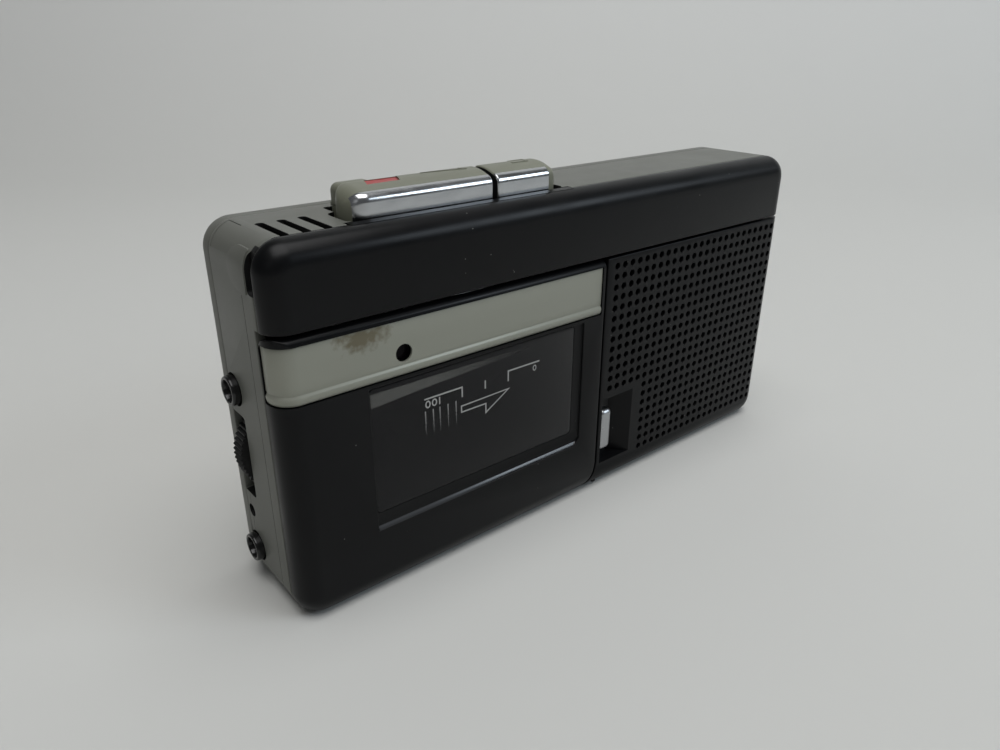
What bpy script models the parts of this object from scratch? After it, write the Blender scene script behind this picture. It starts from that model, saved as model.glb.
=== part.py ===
import math

import bmesh
import bpy
from mathutils import Matrix, Vector

# Pocket microcassette recorder, standing on its long side with the keys on top.
# X runs along its length, Y runs from the front face into the case, Z is up.
# All lengths are in metres, and the origin is the middle of the side it stands on.

# Whole case
body_length = 0.1190
body_height = 0.0607
body_depth = 0.0223
corner_radius = 0.0045
front_edge_radius = 0.0036
rear_edge_radius = 0.0024
case_wall = 0.0016
part_gap = 0.0003
cut_overrun = 0.0020
corner_steps = 4
front_edge_steps = 3
rear_edge_steps = 2
lid_top_steps = 3

# Seams between the mouldings
band_height = 0.0124
band_seam_depth = 0.0036
side_seam_depth = 0.0049
rear_cover_depth = 0.0038
panel_groove = 0.0005

# Cassette lid, hinged along its top edge
lid_length = 0.0635
lid_wall = 0.0015
lid_side_gap = 0.0004
hinge_groove = 0.0006
lid_top_radius = 0.0015
hinge_pin_radius = 0.0005
hinge_bore_radius = 0.00085
hinge_drop = 0.0024
hinge_ear_radius = 0.0013
hinge_ear_width = 0.0020
hinge_lug_width = 0.0024
hinge_lug_reach = 0.0034
hinge_lug_thickness = 0.0022
hinge_lug_inset = 0.0060
hinge_lug_chamfer = 0.0008
hinge_lug_shelf = 0.0030
hinge_relief_radius = 0.0023
catch_tab_width = 0.0011
catch_tab_inset = 0.0004
catch_tab_height = 0.0115
catch_tab_thickness = 0.0016
catch_lip_depth = 0.0056
catch_lip_thickness = 0.0010
catch_lip_rise = 0.0009

# Trim strip across the top of the lid
strip_height = 0.0087
strip_drop = 0.0013
strip_end_inset = 0.0008
strip_recess = 0.0002
strip_thickness = 0.0004
strip_wrap_depth = 0.0042
bead_height = 0.0014
lamp_radius = 0.0014
lamp_left_inset = 0.0204
lamp_drop = 0.0052
lamp_sink = 0.0008
lamp_thickness = 0.0012

# Window in the lid
window_left_inset = 0.0140
window_right_margin = 0.0070
window_bottom = 0.0150
window_top_gap = 0.0009
window_recess = 0.0005
window_thickness = 0.0010
window_slope_right = 0.0020
window_slope_bottom = 0.0030
window_slope_trim = 0.0002
window_corner_radius = 0.0008

# Speaker grille panel
hole_pitch = 0.002045
hole_radius = 0.00068
hole_sides = 4
grille_top_margin = 0.0017
grille_left_margin = 0.0025
grille_right_margin = 0.0030
grille_bottom_margin = 0.0046
panel_rib_width = 0.0008
panel_rib_depth = 0.0042

# Thumb recess of the lid release
recess_width_top = 0.0086
recess_width_floor = 0.0051
recess_height = 0.0142
recess_bottom = 0.0053
recess_depth = 0.0032
recess_floor = 0.0010
recess_rim = 0.0010
slider_width = 0.0033
slider_height = 0.0100
slider_front_inset = 0.0004
slider_edge = 0.0007
slider_travel = 0.0016
slider_stem_width = 0.0017
slider_stem_height = 0.0052
slider_foot_height = 0.0040
slider_foot_thickness = 0.0008

# Keys on top
key_left_inset = 0.0160
play_key_length = 0.0256
stop_key_length = 0.0139
key_split_gap = 0.0009
key_front_setback = 0.0051
key_width = 0.0066
key_plan_radius = 0.0032
key_end_radius = 0.0032
key_slot_radius = 0.0020
key_front_rise = 0.0038
key_rear_rise = 0.0045
key_edge_radius = 0.0013
button_edge_radius = 0.0009
key_slot_gap = 0.0004
key_skirt = 0.0028
key_stem_length = 0.0090
key_stem_thickness = 0.0020
record_button_length = 0.0070
record_button_width = 0.0032
record_button_inset = 0.0014
record_button_rise = 0.0038
record_button_gap = 0.0006
record_stem_length = 0.0080

# Microphone behind three slots in the top
mic_slot_count = 3
mic_slot_pitch = 0.0032
mic_slot_width = 0.0012
mic_slot_length = 0.0080
mic_slot_left_inset = 0.0054
mic_capsule_radius = 0.0030
mic_capsule_height = 0.0036
mic_grommet_width = 0.0082
mic_grommet_height = 0.0048

# Sockets and volume dial in the left end
socket_depth = 0.0162
upper_socket_height = 0.0354
lower_socket_height = 0.0066
socket_ring_radius = 0.0024
socket_bore_radius = 0.00175
socket_stand_out = 0.00125
socket_bore_length = 0.0110
socket_body_length = 0.0115
socket_body_width = 0.0058
dial_height = 0.0241
dial_radius = 0.0080
dial_thickness = 0.0030
dial_stand_out = 0.0012
dial_teeth = 30
dial_tooth_depth = 0.0004
dial_bore_radius = 0.0013
dial_slot_length = 0.0145
dial_slot_width = 0.0046
pot_shaft_radius = 0.0009
pot_radius = 0.0048
pot_height = 0.0010

# Cassette bay, deck and tape drive
cassette_length = 0.0502
cassette_height = 0.0335
bay_clearance = 0.0006
bay_bottom = 0.0060
deck_depth = 0.0112
deck_thickness = 0.0010
deck_edge_gap = 0.0003
deck_top_drop = 0.0051
deck_bottom = 0.0042
well_wall = 0.0011
well_front_depth = 0.0052
hub_spacing = 0.0255
hub_height = 0.0165
spindle_flange_radius = 0.0040
spindle_flange_thickness = 0.0008
spindle_radius = 0.0012
spindle_fin_reach = 0.0022
spindle_fin_width = 0.0007
spindle_fin_count = 3
spindle_tip_depth = 0.0067
spindle_journal_radius = 0.0008
spindle_journal_length = 0.0018
bearing_clearance = 0.0003
capstan_offset = 0.0119
capstan_drop = 0.0025
capstan_radius = 0.00075
capstan_tip_depth = 0.0046
flywheel_radius = 0.0100
flywheel_thickness = 0.0022
flywheel_hub_radius = 0.0028
flywheel_groove = 0.0004
drive_rear_depth = 0.0189
motor_radius = 0.0065
motor_length = 0.0044
motor_offset = 0.0070
motor_height = 0.0118
motor_shaft_radius = 0.0005
pulley_radius = 0.0020
pulley_bore_radius = 0.0008
belt_thickness = 0.0006
belt_width = 0.0010

# Heads, pinch roller and their carriers
head_slide_length = 0.0265
head_slide_height = 0.0092
head_slide_thickness = 0.0009
head_slide_left = 0.0190
head_tip_gap = 0.0020
head_width = 0.0076
head_height = 0.0050
head_front_depth = 0.0047
erase_head_width = 0.0040
erase_head_height = 0.0038
erase_head_offset = 0.0115
head_edge = 0.0009
pinch_roller_radius = 0.0030
pinch_roller_length = 0.0046
pinch_roller_bore = 0.0010
pinch_pin_radius = 0.0006
pinch_arm_reach = 0.0078
pinch_arm_width = 0.0028
pinch_arm_thickness = 0.0009
pinch_lift = 0.0061
pinch_pivot_rise = 0.0008

# Loudspeaker behind the grille
speaker_recess_gap = 0.0017
speaker_foot_gap = 0.0066
speaker_along_share = 0.5463
speaker_up_share = 0.4316
speaker_front_depth = 0.0025
speaker_flange = 0.0020
speaker_flange_thickness = 0.0008
speaker_basket_depth = 0.0036
magnet_share = 0.53
magnet_thickness = 0.0014
basket_wall = 0.0006
cone_depth = 0.0016
cone_thickness = 0.0004
cone_roll = 0.0005
dust_cap_share = 0.28
dust_cap_rise = 0.0009
felt_thickness = 0.0003
felt_margin = 0.0016

# Battery compartment and its sliding cover
tray_left_gap = 0.0019
tray_right_inset = 0.0038
tray_bottom = 0.0141
tray_height = 0.0244
tray_front_depth = 0.0090
tray_wall = 0.0008
tray_ledge = 0.0009
cover_lip_depth = 0.0019
cover_tongue_length = 0.0040
cover_tongue_reach = 0.0006
cover_tongue_thickness = 0.0005
cover_tongue_inset = 0.0050
cover_grip_count = 5
cover_grip_pitch = 0.0016
cover_grip_width = 0.0007
cover_grip_length = 0.0120
cover_grip_depth = 0.0004
cell_divider = 0.0012
cell_divider_height = 0.0030
contact_thickness = 0.0004
contact_width = 0.0070
contact_height = 0.0080
contact_bow = 0.0012

# Circuit board, its parts and the case screws
board_depth = 0.0193
board_thickness = 0.0010
board_margin = 0.0012
board_right_gap = 0.0011
board_bottom = 0.0072
board_top_gap = 0.0085
chip_length = 0.0100
chip_width = 0.0060
chip_right_inset = 0.0320
chip_drop = 0.0040
chip_thickness = 0.0018
capacitor_radius = 0.0020
capacitor_height = 0.0048
capacitor_spacing = 0.0060
screw_head_radius = 0.0014
screw_head_thickness = 0.0008
screw_shank_radius = 0.0007
screw_length = 0.0070
screw_clearance = 0.0003
screw_sink = 0.0002
screw_left_inset_low = 0.0180
screw_left_inset_high = 0.0076
screw_right_inset = 0.0062
screw_edge_inset = 0.0042
screw_post_half = 0.0020
screw_post_depth = 0.0050
screw_slot_width = 0.0005
screw_slot_depth = 0.0005

# Facets of round pieces
bore_sides = 8
small_sides = 12
round_sides = 20
large_sides = 28

# Places that follow from the sizes
left_x = -body_length / 2
right_x = body_length / 2
front_y = -body_depth / 2
back_y = body_depth / 2
band_z = body_height - band_height
lid_top = band_z - hinge_groove
lid_right = left_x + lid_length
panel_left = lid_right + lid_side_gap
panel_top = band_z - panel_groove
rear_seam_y = back_y - rear_cover_depth
hinge_y = front_y + lid_wall + part_gap + hinge_pin_radius
hinge_z = lid_top - hinge_drop
window_left = left_x + window_left_inset
window_right = lid_right - window_right_margin
strip_top = lid_top - strip_drop
strip_bottom = strip_top - strip_height
strip_right = lid_right - strip_end_inset
window_top = strip_bottom - window_top_gap
bay_centre_x = (window_left + window_right) / 2 + window_slope_right / 2
bay_top = bay_bottom + cassette_height + bay_clearance
capstan_x = bay_centre_x + capstan_offset
capstan_z = bay_top - capstan_drop
hub_z = bay_bottom + hub_height
top_inner_z = body_height - case_wall

case_collection = bpy.data.collections.new("microcassette_recorder")
tool_collection = bpy.data.collections.new("cutters")
for collection in (case_collection, tool_collection):
    bpy.context.scene.collection.children.link(collection)


def clear_scene():
    for old in list(bpy.data.objects):
        if old.name not in case_collection.objects and old.name not in tool_collection.objects:
            bpy.data.objects.remove(old, do_unlink=True)


def depth(distance):
    # A place measured into the case from its front face.
    return front_y + distance


def finish(name, colour, roughness, metallic=0.0, alpha=1.0):
    made = bpy.data.materials.new(name)
    made.use_nodes = True
    shader = made.node_tree.nodes["Principled BSDF"]
    shader.inputs["Base Color"].default_value = (*colour, 1.0)
    shader.inputs["Roughness"].default_value = roughness
    shader.inputs["Metallic"].default_value = metallic
    shader.inputs["Alpha"].default_value = alpha
    made.diffuse_color = (*colour, alpha)
    return made


def add_object(name, mesh, material=None, origin=None):
    # A piece with a material joins the recorder, and one without is a cutter.
    made = bpy.data.objects.new(name, mesh)
    if origin is not None:
        mesh.transform(Matrix.Translation(-Vector(origin)))
        made.location = origin
    if material is None:
        tool_collection.objects.link(made)
        made.hide_render = True
        made.display_type = "WIRE"
    else:
        case_collection.objects.link(made)
        mesh.materials.append(material)
    return made


def mesh_from(bm, name):
    bmesh.ops.recalc_face_normals(bm, faces=bm.faces)
    mesh = bpy.data.meshes.new(name)
    bm.to_mesh(mesh)
    bm.free()
    return mesh


def box(name, low, high, material=None, origin=None, edge=0.0, edge_steps=2):
    bm = bmesh.new()
    bmesh.ops.create_cube(bm, size=1.0)
    low = Vector(low)
    high = Vector(high)
    bmesh.ops.scale(bm, vec=high - low, verts=bm.verts)
    bmesh.ops.translate(bm, vec=(low + high) / 2, verts=bm.verts)
    if edge:
        bmesh.ops.bevel(bm, geom=bm.edges[:], offset=edge, segments=edge_steps, profile=0.5, affect="EDGES")
    return add_object(name, mesh_from(bm, name), material, origin)


def rod(name, start, end, radius, sides, material=None, origin=None):
    # A cylinder between two points on its axis.
    start = Vector(start)
    end = Vector(end)
    along = end - start
    turn = Vector((0, 0, 1)).rotation_difference(along).to_matrix().to_4x4()
    place = Matrix.Translation((start + end) / 2) @ turn
    bm = bmesh.new()
    bmesh.ops.create_cone(
        bm, cap_ends=True, segments=sides, radius1=radius, radius2=radius, depth=along.length, matrix=place
    )
    made = add_object(name, mesh_from(bm, name), material, origin)
    smooth(made)
    return made


def smooth(made):
    made.data.shade_smooth()
    made.data.set_sharp_from_angle(angle=math.radians(40))


def cut(made, tool, operation="DIFFERENCE"):
    change = made.modifiers.new(tool.name, "BOOLEAN")
    change.operation = operation
    change.solver = "EXACT"
    change.object = tool


def plate(name, outline, thickness, place, material=None, origin=None):
    # A flat filled outline with thickness on both sides of its plane, set by a matrix.
    curve = bpy.data.curves.new(name, "CURVE")
    curve.dimensions = "2D"
    curve.fill_mode = "BOTH"
    curve.extrude = thickness / 2
    line = curve.splines.new("POLY")
    line.points.add(len(outline) - 1)
    for point, (across, up) in zip(line.points, outline):
        point.co = (across, up, 0, 1)
    line.use_cyclic_u = True
    drawn = bpy.data.objects.new(name + "_outline", curve)
    tool_collection.objects.link(drawn)
    bpy.context.view_layer.update()
    evaluated = drawn.evaluated_get(bpy.context.evaluated_depsgraph_get())
    mesh = bpy.data.meshes.new_from_object(evaluated)
    bpy.data.objects.remove(drawn, do_unlink=True)
    bm = bmesh.new()
    bm.from_mesh(mesh)
    bmesh.ops.remove_doubles(bm, verts=bm.verts, dist=part_gap / 100)
    bm.transform(place)
    return add_object(name, mesh_from(bm, name), material, origin)


def facing_front(y):
    # Outline X and Y become X and Z, and the outline's face looks out of the front.
    return Matrix.Translation((0, y, 0)) @ Matrix.Rotation(math.radians(90), 4, "X")


def facing_side(x):
    # Outline X and Y become Y and Z, and the outline's face looks along X.
    turn = Matrix(((0, 0, 1, 0), (1, 0, 0, 0), (0, 1, 0, 0), (0, 0, 0, 1)))
    return Matrix.Translation((x, 0, 0)) @ turn


def facing_up(z):
    return Matrix.Translation((0, 0, z))


def rounded_outline(low, high, radii, steps):
    # Corners run lower left, lower right, upper right, upper left.
    corners = ((low[0], low[1]), (high[0], low[1]), (high[0], high[1]), (low[0], high[1]))
    inward = ((1, 1), (-1, 1), (-1, -1), (1, -1))
    outline = []
    for number, (corner, side, radius) in enumerate(zip(corners, inward, radii)):
        if not radius:
            outline.append(corner)
            continue
        centre = (corner[0] + side[0] * radius, corner[1] + side[1] * radius)
        for step in range(steps + 1):
            angle = math.pi * (1 + number / 2) + math.pi / 2 * step / steps
            outline.append((centre[0] + radius * math.cos(angle), centre[1] + radius * math.sin(angle)))
    return outline


def turned(name, profile, sides, place, material=None, closed=False):
    # A profile of (radius, height) points turned about its own axis.
    ends = zip(profile, profile[1:] + profile[:1])
    area = sum(first[0] * second[1] - second[0] * first[1] for first, second in ends)
    if area > 0:
        profile = profile[::-1]
    mesh = bpy.data.meshes.new(name)
    points = [(radius, 0, height) for radius, height in profile]
    edges = [(number, number + 1) for number in range(len(points) - 1)]
    if closed:
        edges.append((len(points) - 1, 0))
    mesh.from_pydata(points, edges, [])
    made = add_object(name, mesh, material)
    made.matrix_world = place
    screw = made.modifiers.new("turn", "SCREW")
    screw.axis = "Z"
    screw.angle = math.radians(360)
    screw.steps = sides
    screw.render_steps = sides
    screw.use_merge_vertices = True
    screw.merge_threshold = part_gap / 100
    screw.use_smooth_shade = True
    return made


def axis_to_front(x, y, z):
    # Stands a turned shape's axis along Y, with its top towards the front.
    return Matrix.Translation((x, y, z)) @ Matrix.Rotation(math.radians(90), 4, "X")


def case_block(name, inset, material=None):
    # The outer form of the closed case, or the same form drawn in by a wall.
    bm = bmesh.new()
    bmesh.ops.create_cube(bm, size=1.0)
    size = Vector((body_length - 2 * inset, body_depth - 2 * inset, body_height - 2 * inset))
    bmesh.ops.scale(bm, vec=size, verts=bm.verts)
    bmesh.ops.translate(bm, vec=(0, 0, body_height / 2), verts=bm.verts)
    along = [edge for edge in bm.edges if abs((edge.verts[0].co - edge.verts[1].co).y) > size.y / 2]
    bmesh.ops.bevel(
        bm, geom=along, offset=corner_radius - inset, segments=corner_steps, profile=0.5, affect="EDGES"
    )
    rims = (
        (-size.y / 2, front_edge_radius - inset, front_edge_steps),
        (size.y / 2, rear_edge_radius - inset, rear_edge_steps),
    )
    for level, radius, steps in rims:
        rim = [edge for edge in bm.edges if all(abs(v.co.y - level) < part_gap / 10 for v in edge.verts)]
        bmesh.ops.bevel(bm, geom=rim, offset=radius, segments=steps, profile=0.5, affect="EDGES")
    return add_object(name, mesh_from(bm, name), material)


def make_finishes():
    return {
        "black": finish("black_case", (0.030, 0.031, 0.034), 0.42),
        "grey": finish("grey_case", (0.17, 0.175, 0.165), 0.45),
        "silver": finish("silver_trim", (0.52, 0.52, 0.48), 0.35, 0.7),
        "chrome": finish("key_metal", (0.60, 0.60, 0.57), 0.22, 1.0),
        "smoke": finish("smoked_window", (0.03, 0.03, 0.032), 0.10, 0.0, 0.8),
        "steel": finish("steel", (0.55, 0.55, 0.55), 0.35, 1.0),
        "dark": finish("dark_plastic", (0.02, 0.02, 0.02), 0.50),
        "rubber": finish("rubber", (0.02, 0.02, 0.02), 0.80),
        "white": finish("white_plastic", (0.75, 0.74, 0.70), 0.45),
        "brass": finish("brass", (0.62, 0.45, 0.20), 0.30, 1.0),
        "board": finish("circuit_board", (0.10, 0.22, 0.09), 0.55),
        "paper": finish("speaker_paper", (0.06, 0.06, 0.06), 0.85),
        "magnet": finish("magnet", (0.35, 0.35, 0.36), 0.40, 1.0),
        "lamp": finish("lamp_lens", (0.12, 0.01, 0.01), 0.15),
    }


def hinge_lug(name, centre_x):
    # A hook that comes forward from behind the band to hold the hinge pin.
    arm_front = hinge_y - hinge_pin_radius
    arm_back = hinge_y + hinge_lug_reach
    web_front = arm_back - hinge_lug_thickness / 2
    shelf_z = band_z + hinge_lug_shelf
    arm_half = hinge_lug_thickness / 2
    outline = [
        (arm_front, hinge_z - arm_half),
        (arm_back, hinge_z - arm_half),
        (arm_back, shelf_z),
        (depth(case_wall / 2), shelf_z),
        (depth(case_wall / 2), shelf_z - arm_half),
        (web_front, shelf_z - arm_half),
        (web_front, hinge_z + arm_half),
        (arm_front + hinge_lug_chamfer, hinge_z + arm_half),
        (arm_front, hinge_z + arm_half - hinge_lug_chamfer),
    ]
    return plate(name, outline, hinge_lug_width, facing_side(centre_x))


def hinge_bore(name, low_x, high_x):
    return rod(name, (low_x, hinge_y, hinge_z), (high_x, hinge_y, hinge_z), hinge_bore_radius, bore_sides)


def hinge_lug_places():
    return (left_x + hinge_lug_inset, lid_right - hinge_lug_inset)


def front_cabinet(looks, hollow, bore):
    made = case_block("front_cabinet", 0, looks["black"])
    cut(made, hollow)
    zone = box(
        "band_zone",
        (left_x - cut_overrun, front_y - cut_overrun, band_z),
        (right_x + cut_overrun, depth(band_seam_depth), body_height + cut_overrun),
    )
    cut(made, zone, "INTERSECT")
    for number, centre_x in enumerate(hinge_lug_places()):
        cut(made, hinge_lug(f"hinge_lug_{number + 1}", centre_x), "UNION")
    cut(made, bore)
    return made


def mic_slot_x(number):
    return left_x + mic_slot_left_inset + number * mic_slot_pitch


def key_front_y():
    return depth(key_front_setback)


def play_key_span():
    low = left_x + key_left_inset
    return low, low + play_key_length


def stop_key_span():
    low = play_key_span()[1] + key_split_gap
    return low, low + stop_key_length


def record_button_span():
    low = play_key_span()[0] + record_button_inset
    return low, low + record_button_length


def record_button_front():
    return key_front_y() + key_width + record_button_gap


def dial_centre():
    return (left_x - dial_stand_out + dial_radius, depth(socket_depth), dial_height)


def middle_frame(looks, hollow, holes):
    made = case_block("middle_frame", 0, looks["grey"])
    cut(made, hollow)
    zone = box(
        "frame_zone",
        (left_x - cut_overrun, depth(band_seam_depth + part_gap), -cut_overrun),
        (right_x + cut_overrun, rear_seam_y - part_gap, body_height + cut_overrun),
    )
    cut(made, zone, "INTERSECT")
    lower = box(
        "lower_seam_zone",
        (left_x - cut_overrun, front_y - cut_overrun, -cut_overrun),
        (right_x + cut_overrun, depth(side_seam_depth), band_z),
    )
    cut(made, lower)
    cut_key_slot(made)
    cut_mic_slots(made)
    cut_dial_slot(made)
    for hole in holes:
        cut(made, hole)
    add_screw_posts(made, rear_seam_y - part_gap - screw_post_depth, rear_seam_y - part_gap)
    return made


def add_screw_posts(made, low_y, high_y):
    # A square post along the case wall at each screw, with a hole for its shank.
    for number, (x, z) in enumerate(screw_places()):
        below = z < body_height / 2
        wall_z = case_wall / 2 if below else body_height - case_wall / 2
        free_z = z + screw_post_half if below else z - screw_post_half
        post = box(
            f"{made.name}_post_{number + 1}",
            (x - screw_post_half, low_y, min(wall_z, free_z)),
            (x + screw_post_half, high_y, max(wall_z, free_z)),
        )
        cut(made, post, "UNION")
        start = (x, back_y - screw_sink - screw_length - part_gap, z)
        end = (x, back_y + cut_overrun, z)
        radius = screw_shank_radius + screw_clearance
        hole = rod(f"{made.name}_screw_hole_{number + 1}", start, end, radius, bore_sides)
        cut(made, hole)


def cut_key_slot(made):
    low = (play_key_span()[0] - key_slot_gap, key_front_y() - key_slot_gap)
    high = (stop_key_span()[1] + key_slot_gap, key_front_y() + key_width + key_slot_gap)
    radius = key_slot_radius
    outline = rounded_outline(low, high, (radius, radius, radius, radius), corner_steps)
    cut(made, plate("key_slot", outline, 2 * (case_wall + cut_overrun), facing_up(body_height)))
    button_low, button_high = record_button_span()
    behind = box(
        "record_slot",
        (button_low - key_slot_gap, key_front_y() + key_width / 2, top_inner_z - cut_overrun),
        (
            button_high + key_slot_gap,
            record_button_front() + record_button_width + key_slot_gap,
            body_height + cut_overrun,
        ),
    )
    cut(made, behind)


def cut_mic_slots(made):
    for number in range(mic_slot_count):
        centre = mic_slot_x(number)
        start = depth(front_edge_radius + case_wall / 2)
        slot = box(
            f"mic_slot_{number + 1}",
            (centre - mic_slot_width / 2, start, top_inner_z - cut_overrun),
            (centre + mic_slot_width / 2, start + mic_slot_length, body_height + cut_overrun),
        )
        cut(made, slot)


def socket_holes():
    holes = []
    for label, height in (("upper", upper_socket_height), ("lower", lower_socket_height)):
        start = (left_x - cut_overrun, depth(socket_depth), height)
        end = (left_x + case_wall + cut_overrun, depth(socket_depth), height)
        holes.append(rod(f"{label}_socket_hole", start, end, socket_ring_radius + part_gap, small_sides))
    return holes


def cut_dial_slot(made):
    x, y, z = dial_centre()
    slot = box(
        "dial_slot",
        (left_x - cut_overrun, y - dial_slot_width / 2, z - dial_slot_length / 2),
        (left_x + case_wall + cut_overrun, y + dial_slot_width / 2, z + dial_slot_length / 2),
    )
    cut(made, slot)


def grille_places():
    # Hole centres on a square pitch, left out where the thumb recess lies.
    first_x = panel_left + grille_left_margin
    first_z = panel_top - grille_top_margin
    columns = int((right_x - grille_right_margin - first_x) / hole_pitch) + 1
    rows = int((first_z - grille_bottom_margin) / hole_pitch) + 1
    blocked_x = recess_left() + recess_width_top + recess_rim + hole_radius
    blocked_z = recess_bottom + recess_height + recess_rim + hole_radius
    places = []
    for row in range(rows):
        for column in range(columns):
            x = first_x + column * hole_pitch
            z = first_z - row * hole_pitch
            if x > blocked_x or z > blocked_z:
                places.append((x, z))
    return places


def grille_punches():
    # One cutter that holds a short prism for every hole.
    bm = bmesh.new()
    for x, z in grille_places():
        place = Matrix.Translation((x, front_y, z)) @ Matrix.Rotation(math.radians(90), 4, "X")
        bmesh.ops.create_cone(
            bm,
            cap_ends=True,
            segments=hole_sides,
            radius1=hole_radius,
            radius2=hole_radius,
            depth=2 * (case_wall + cut_overrun),
            matrix=place,
        )
    return add_object("grille_punches", mesh_from(bm, "grille_punches"))


def recess_left():
    return panel_left + panel_rib_width


def recess_cutter():
    # The pocket's left wall is square and its right wall slopes down to the floor.
    left = recess_left()
    slope_share = cut_overrun / recess_depth
    spread = (recess_width_top - recess_width_floor) * (1 + slope_share)
    outline = [
        (left, depth(recess_depth)),
        (left, front_y - cut_overrun),
        (left + recess_width_floor + spread, front_y - cut_overrun),
        (left + recess_width_floor, depth(recess_depth)),
    ]
    return plate("thumb_recess", outline, recess_height, facing_up(recess_bottom + recess_height / 2))


def slider_centre():
    x = recess_left() + slider_width / 2 + part_gap
    z = recess_bottom + recess_height - part_gap - slider_travel - slider_height / 2
    return x, z


def slider_slot():
    x, z = slider_centre()
    half_width = slider_stem_width / 2 + part_gap
    half_height = slider_stem_height / 2 + part_gap
    return box(
        "slider_slot",
        (x - half_width, depth(recess_depth - cut_overrun), z - half_height),
        (x + half_width, depth(recess_depth + recess_floor + cut_overrun), z + half_height + slider_travel),
    )


def speaker_grille(looks, hollow):
    made = case_block("speaker_grille", 0, looks["black"])
    cut(made, hollow)
    zone = box(
        "panel_zone",
        (panel_left, front_y - cut_overrun, -cut_overrun),
        (right_x + cut_overrun, depth(side_seam_depth - part_gap), panel_top),
    )
    cut(made, zone, "INTERSECT")
    rib = box(
        "panel_rib",
        (panel_left, depth(case_wall / 2), case_wall / 2),
        (panel_left + panel_rib_width, depth(panel_rib_depth), panel_top),
    )
    block = box(
        "recess_block",
        (panel_left, depth(case_wall / 2), recess_bottom - recess_rim),
        (
            recess_left() + recess_width_top + recess_rim,
            depth(recess_depth + recess_floor),
            recess_bottom + recess_height + recess_rim,
        ),
    )
    cut(made, rib, "UNION")
    cut(made, block, "UNION")
    cut(made, recess_cutter())
    cut(made, slider_slot())
    cut(made, grille_punches())
    return made


def lid_zone():
    # The lid's share of the case, rounded along its top edge so that it can turn.
    low_x = left_x - cut_overrun
    back = depth(side_seam_depth - part_gap)
    outline = [(back, -cut_overrun), (back, lid_top)]
    for step in range(lid_top_steps + 1):
        angle = math.pi / 2 * step / lid_top_steps
        across = depth(lid_top_radius * (1 - math.sin(angle)))
        outline.append((across, lid_top - lid_top_radius * (1 - math.cos(angle))))
    outline.append((front_y - cut_overrun, lid_top - lid_top_radius))
    outline.append((front_y - cut_overrun, -cut_overrun))
    return plate("lid_zone", outline, lid_right - low_x, facing_side((low_x + lid_right) / 2))


def cassette_lid(looks, bore):
    made = case_block("cassette_lid", 0, looks["black"])
    cut(made, case_block("lid_hollow", lid_wall))
    cut(made, lid_zone(), "INTERSECT")
    cut(made, window_slopes())
    cut(made, window_opening("window_opening", 0, cut_overrun))
    cut(made, strip_pocket())
    for number, (low_x, high_x) in enumerate(hinge_ears()):
        ear = box(
            f"hinge_ear_{number + 1}",
            (low_x, depth(lid_wall / 2 + strip_thickness), hinge_z - hinge_ear_radius),
            (high_x, hinge_y + hinge_ear_radius, hinge_z + hinge_ear_radius),
        )
        cut(made, ear, "UNION")
    cut(made, bore)
    cut(made, hinge_relief())
    cut(made, catch_hook(), "UNION")
    cut(made, lamp_rod("lamp_hole_lid", part_gap, -cut_overrun, lid_wall + cut_overrun))
    made.data.transform(Matrix.Translation((0, -hinge_y, -hinge_z)))
    made.location = (0, hinge_y, hinge_z)
    return made


def hinge_relief():
    # The end wall is rounded about the hinge, so that it turns clear of the frame.
    top = lid_top + cut_overrun
    back = depth(side_seam_depth + cut_overrun)
    outline = [(back, hinge_z), (back, top), (hinge_y, top)]
    for step in range(corner_steps + 1):
        angle = math.pi / 2 * step / corner_steps
        across = hinge_y + hinge_relief_radius * math.sin(angle)
        outline.append((across, hinge_z + hinge_relief_radius * math.cos(angle)))
    return plate("hinge_relief", outline, 2 * (lid_wall + cut_overrun), facing_side(left_x))


def catch_hook():
    # A tab behind the lid's right edge, with a lip under the foot of the release slider.
    top = catch_tab_height + catch_tab_thickness
    lip_back = catch_lip_depth + catch_lip_thickness
    outline = [
        (depth(lid_wall / 2), catch_tab_height),
        (depth(lip_back), catch_tab_height),
        (depth(lip_back), top + catch_lip_rise),
        (depth(catch_lip_depth), top + catch_lip_rise),
        (depth(catch_lip_depth), top),
        (depth(lid_wall / 2), top),
    ]
    centre_x = lid_right - catch_tab_inset - catch_tab_width / 2
    return plate("catch_hook", outline, catch_tab_width, facing_side(centre_x))


def hinge_ears():
    # An ear of the lid stands on each side of both lugs.
    spans = []
    for centre in hinge_lug_places():
        inner = hinge_lug_width / 2 + part_gap
        spans.append((centre - inner - hinge_ear_width, centre - inner))
        spans.append((centre + inner, centre + inner + hinge_ear_width))
    return spans


def window_slopes():
    # The dished margin around the window: wide below and to the right of it.
    bm = bmesh.new()
    bmesh.ops.create_cube(bm, size=1.0)
    shift = cut_overrun / window_recess
    for vert in bm.verts:
        front = vert.co.y < 0
        right = vert.co.x > 0
        top = vert.co.z > 0
        spread_right = window_slope_right if right else window_slope_trim
        spread_up = window_slope_trim if top else window_slope_bottom
        reach = 1 + shift if front else 0
        x = (window_right if right else window_left) + (spread_right if right else -spread_right) * reach
        z = (window_top if top else window_bottom) + (spread_up if top else -spread_up) * reach
        vert.co = (x, front_y - cut_overrun if front else depth(window_recess), z)
    return add_object("window_slopes", mesh_from(bm, "window_slopes"))


def window_opening(name, inset, overrun):
    low = (window_left + inset, window_bottom + inset)
    high = (window_right - inset, window_top - inset)
    radius = window_corner_radius
    outline = rounded_outline(low, high, (radius, radius, radius, radius), 2)
    thickness = window_thickness + 2 * overrun
    centre = depth(window_recess + window_thickness / 2)
    return plate(name, outline, thickness, facing_front(centre))


def strip_zone(name, low_z, high_z, grow, reach):
    return box(
        name,
        (left_x - cut_overrun, front_y - cut_overrun, low_z - grow),
        (strip_right + grow, depth(reach + grow), high_z + grow),
    )


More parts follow.
